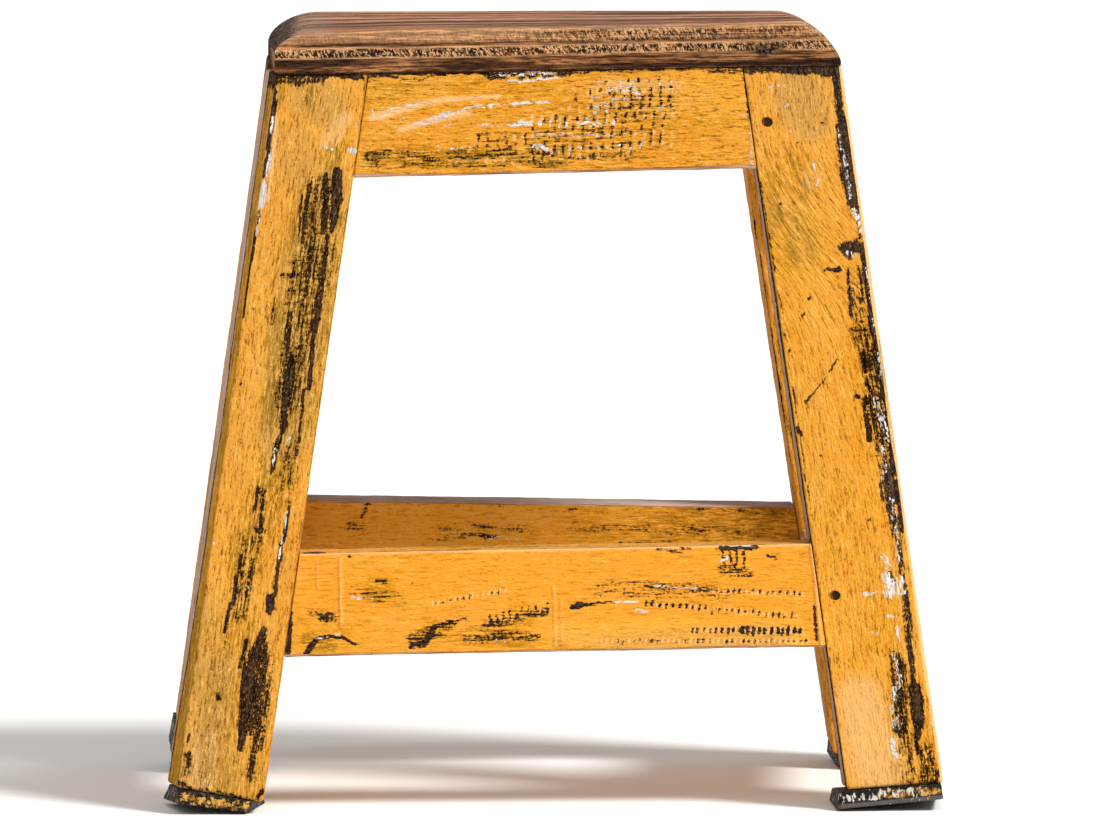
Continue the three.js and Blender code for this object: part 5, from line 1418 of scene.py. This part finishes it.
# ----------------------------------------------------------------------- pads
def make_pad(key, seed):
    P, L = PADS[key], LEGS[key]
    sx, sy = L["sx"], L["sy"]
    cut, base = L["cut"], P["base"]
    top = np.array([P["top"][i] for i in (0, 3, 2, 1)])  # outer-outer, inner x, inner both, inner y
    low = np.array([P["low"][i] for i in (0, 3, 2, 1)])
    A0, B0, H = 52.0, 52.0, 14.0

    def put(a, b, v):
        u, w = (a / A0)[:, None], (b / B0)[:, None]
        q = lambda c: (1 - u) * (1 - w) * c[0] + u * (1 - w) * c[1] + u * w * c[2] + (1 - u) * w * c[3]
        f = np.clip(v, 0, 1)[:, None]
        xy = q(low) * (1 - f) + q(top) * f
        zt = cut[0] + cut[3] * (xy[:, 0] - cut[1]) + cut[4] * (xy[:, 1] - cut[2]) - GAP - 0.05
        zb = np.maximum(0.0, base[0] + base[3] * (xy[:, 0] - base[1]) + base[4] * (xy[:, 1] - base[2]))
        z = zb + (zt - zb) * v
        return np.stack([sx * xy[:, 0], sy * xy[:, 1], z], 1)

    def size(v):
        return np.full(len(v), A0), np.full(len(v), B0)

    def radius(v, s):
        w = np.stack([s * 0.2, s * 0, s * 0], 1)
        return np.stack([2.6 + 0.8 * noise(w + i * 7.7, seed) for i in range(4)], 1)

    piece = bar("pad_block_" + key, A0, B0, H, put, size, radius, (0.9, 1.2, 1.2, 1.2), 0.75, (1.1, 0.6))
    g = np.stack([piece["base"][:, 0], piece["base"][:, 1], piece["base"][:, 2]], 1)
    disp = np.where(piece["k"] >= 0, fbm(g * 0.18, 3, seed) * 0.4 + fbm(g * 0.7, 2, seed + 1) * 0.16 - 0.25, 0)
    bottom = smooth(3.0, 0.6, piece["base"][:, 2])
    disp = disp * (1 - 0.8 * bottom)
    px = seen_at(piece["base"])
    n = len(px)
    gold, white, rim = np.full(n, 0.12), np.full(n, 0.1), np.zeros(n)
    facing = piece["out"][:, 1] < -0.3
    f = piece["v"]
    if key == "front_left":
        gold[facing] = brushed(px[facing], [(0.68, [(182, 797, 8), (247, 806, 8)]), (0.5, [(186, 801, 8), (240, 809, 6)])])
        white[facing] = -0.3 + brushed(px[facing], [(0.1, [(190, 797, 5), (230, 803, 5)])])
    if key == "front_right":
        gold[facing] = brushed(px[facing], [(0.62, [(880, 796, 10), (936, 791, 10)]), (0.5, [(900, 800, 6), (936, 796, 6)])])
        white[facing] = brushed(px[facing], [(0.45, [(846, 799, 8), (880, 797, 9)]), (0.5, [(880, 794, 8), (920, 790, 6)])])
        # the lower rim of the front face: painted light grey, partly for its sheen
        rim[facing] = smooth(0.34, 0.2, f[facing])
        gold *= np.where(facing, smooth(0.28, 0.4, f), 1)
        white *= np.where(facing, smooth(0.28, 0.4, f), 1)
    side = ~facing & (piece["k"] >= 0)
    gold[side] = 0.16 + 0.34 * fbm(g[side] * 0.05, 2, seed + 4)
    attributes = {"grain": g, "wear": np.stack([gold, white, rim], 1)}
    return make(piece, disp, attributes, PADM, ("foot_pad_" + key,))


for i, key in enumerate(PADS):
    make_pad(key, 71 + 2 * i)

# ------------------------------------------------------------- floor and light
floor_mesh = bpy.data.meshes.new("pale_floor")
floor_mesh.from_pydata([(-30, -12, -0.0003), (30, -12, -0.0003), (30, 60, -0.0003), (-30, 60, -0.0003)], [], [(0, 1, 2, 3)])
floor_ob = bpy.data.objects.new("pale_floor", floor_mesh)
scene.collection.objects.link(floor_ob)
fm, nt, bsdf = material("pale_floor")
spread = cloud(nt, node(nt, "ShaderNodeTexCoord").outputs["Object"], (0.8, 0.8, 0.8), detail=2)
nt.links.new(blend(nt, spread, (0.93, 0.93, 0.93), (0.95, 0.95, 0.95)), bsdf.inputs["Base Color"])
bsdf.inputs["Roughness"].default_value = 0.9
bsdf.inputs["Specular IOR Level"].default_value = 0.0
floor_mesh.materials.append(fm)

world = bpy.data.worlds.new("studio")
scene.world = world
world.use_nodes = True
bg = world.node_tree.nodes["Background"]
bg.inputs["Color"].default_value = (1.0, 0.985, 0.96, 1.0)
bg.inputs["Strength"].default_value = 0.46


def sun(name, azimuth, elevation, strength, angle, colour=(1, 1, 1)):
    """A far light. Azimuth 0 comes from the front, 90 from the right."""
    data = bpy.data.lights.new(name, "SUN")
    data.energy, data.angle, data.color = strength, math.radians(angle), colour
    ob = bpy.data.objects.new(name, data)
    az, el = math.radians(azimuth), math.radians(elevation)
    to = Vector((math.sin(az) * math.cos(el), -math.cos(az) * math.cos(el), math.sin(el)))
    ob.rotation_euler = to.to_track_quat("Z", "Y").to_euler()
    scene.collection.objects.link(ob)


sun("key_right", 54, 47, 3.25, 15, (1.0, 0.985, 0.955))
sun("fill_front", -16, 46, 0.5, 50)

# ---------------------------------------------------------------- the camera
cam_data = bpy.data.cameras.new("camera")
cam = bpy.data.objects.new("camera", cam_data)
scene.collection.objects.link(cam)
cam_data.sensor_fit = "HORIZONTAL"
cam_data.sensor_width = 36.0
cam_data.lens = VIEW_F / 1100 * 36.0
cam_data.clip_start, cam_data.clip_end = 0.1, 200.0
cam.location = Vector(EYE * 0.001)
cam.rotation_mode = "QUATERNION"
cam.rotation_quaternion = Vector(-BACK).to_track_quat("-Z", "Y")
scene.camera = cam
scene.view_settings.view_transform = "Standard"
scene.view_settings.look = "None"
scene.view_settings.exposure = 0.0
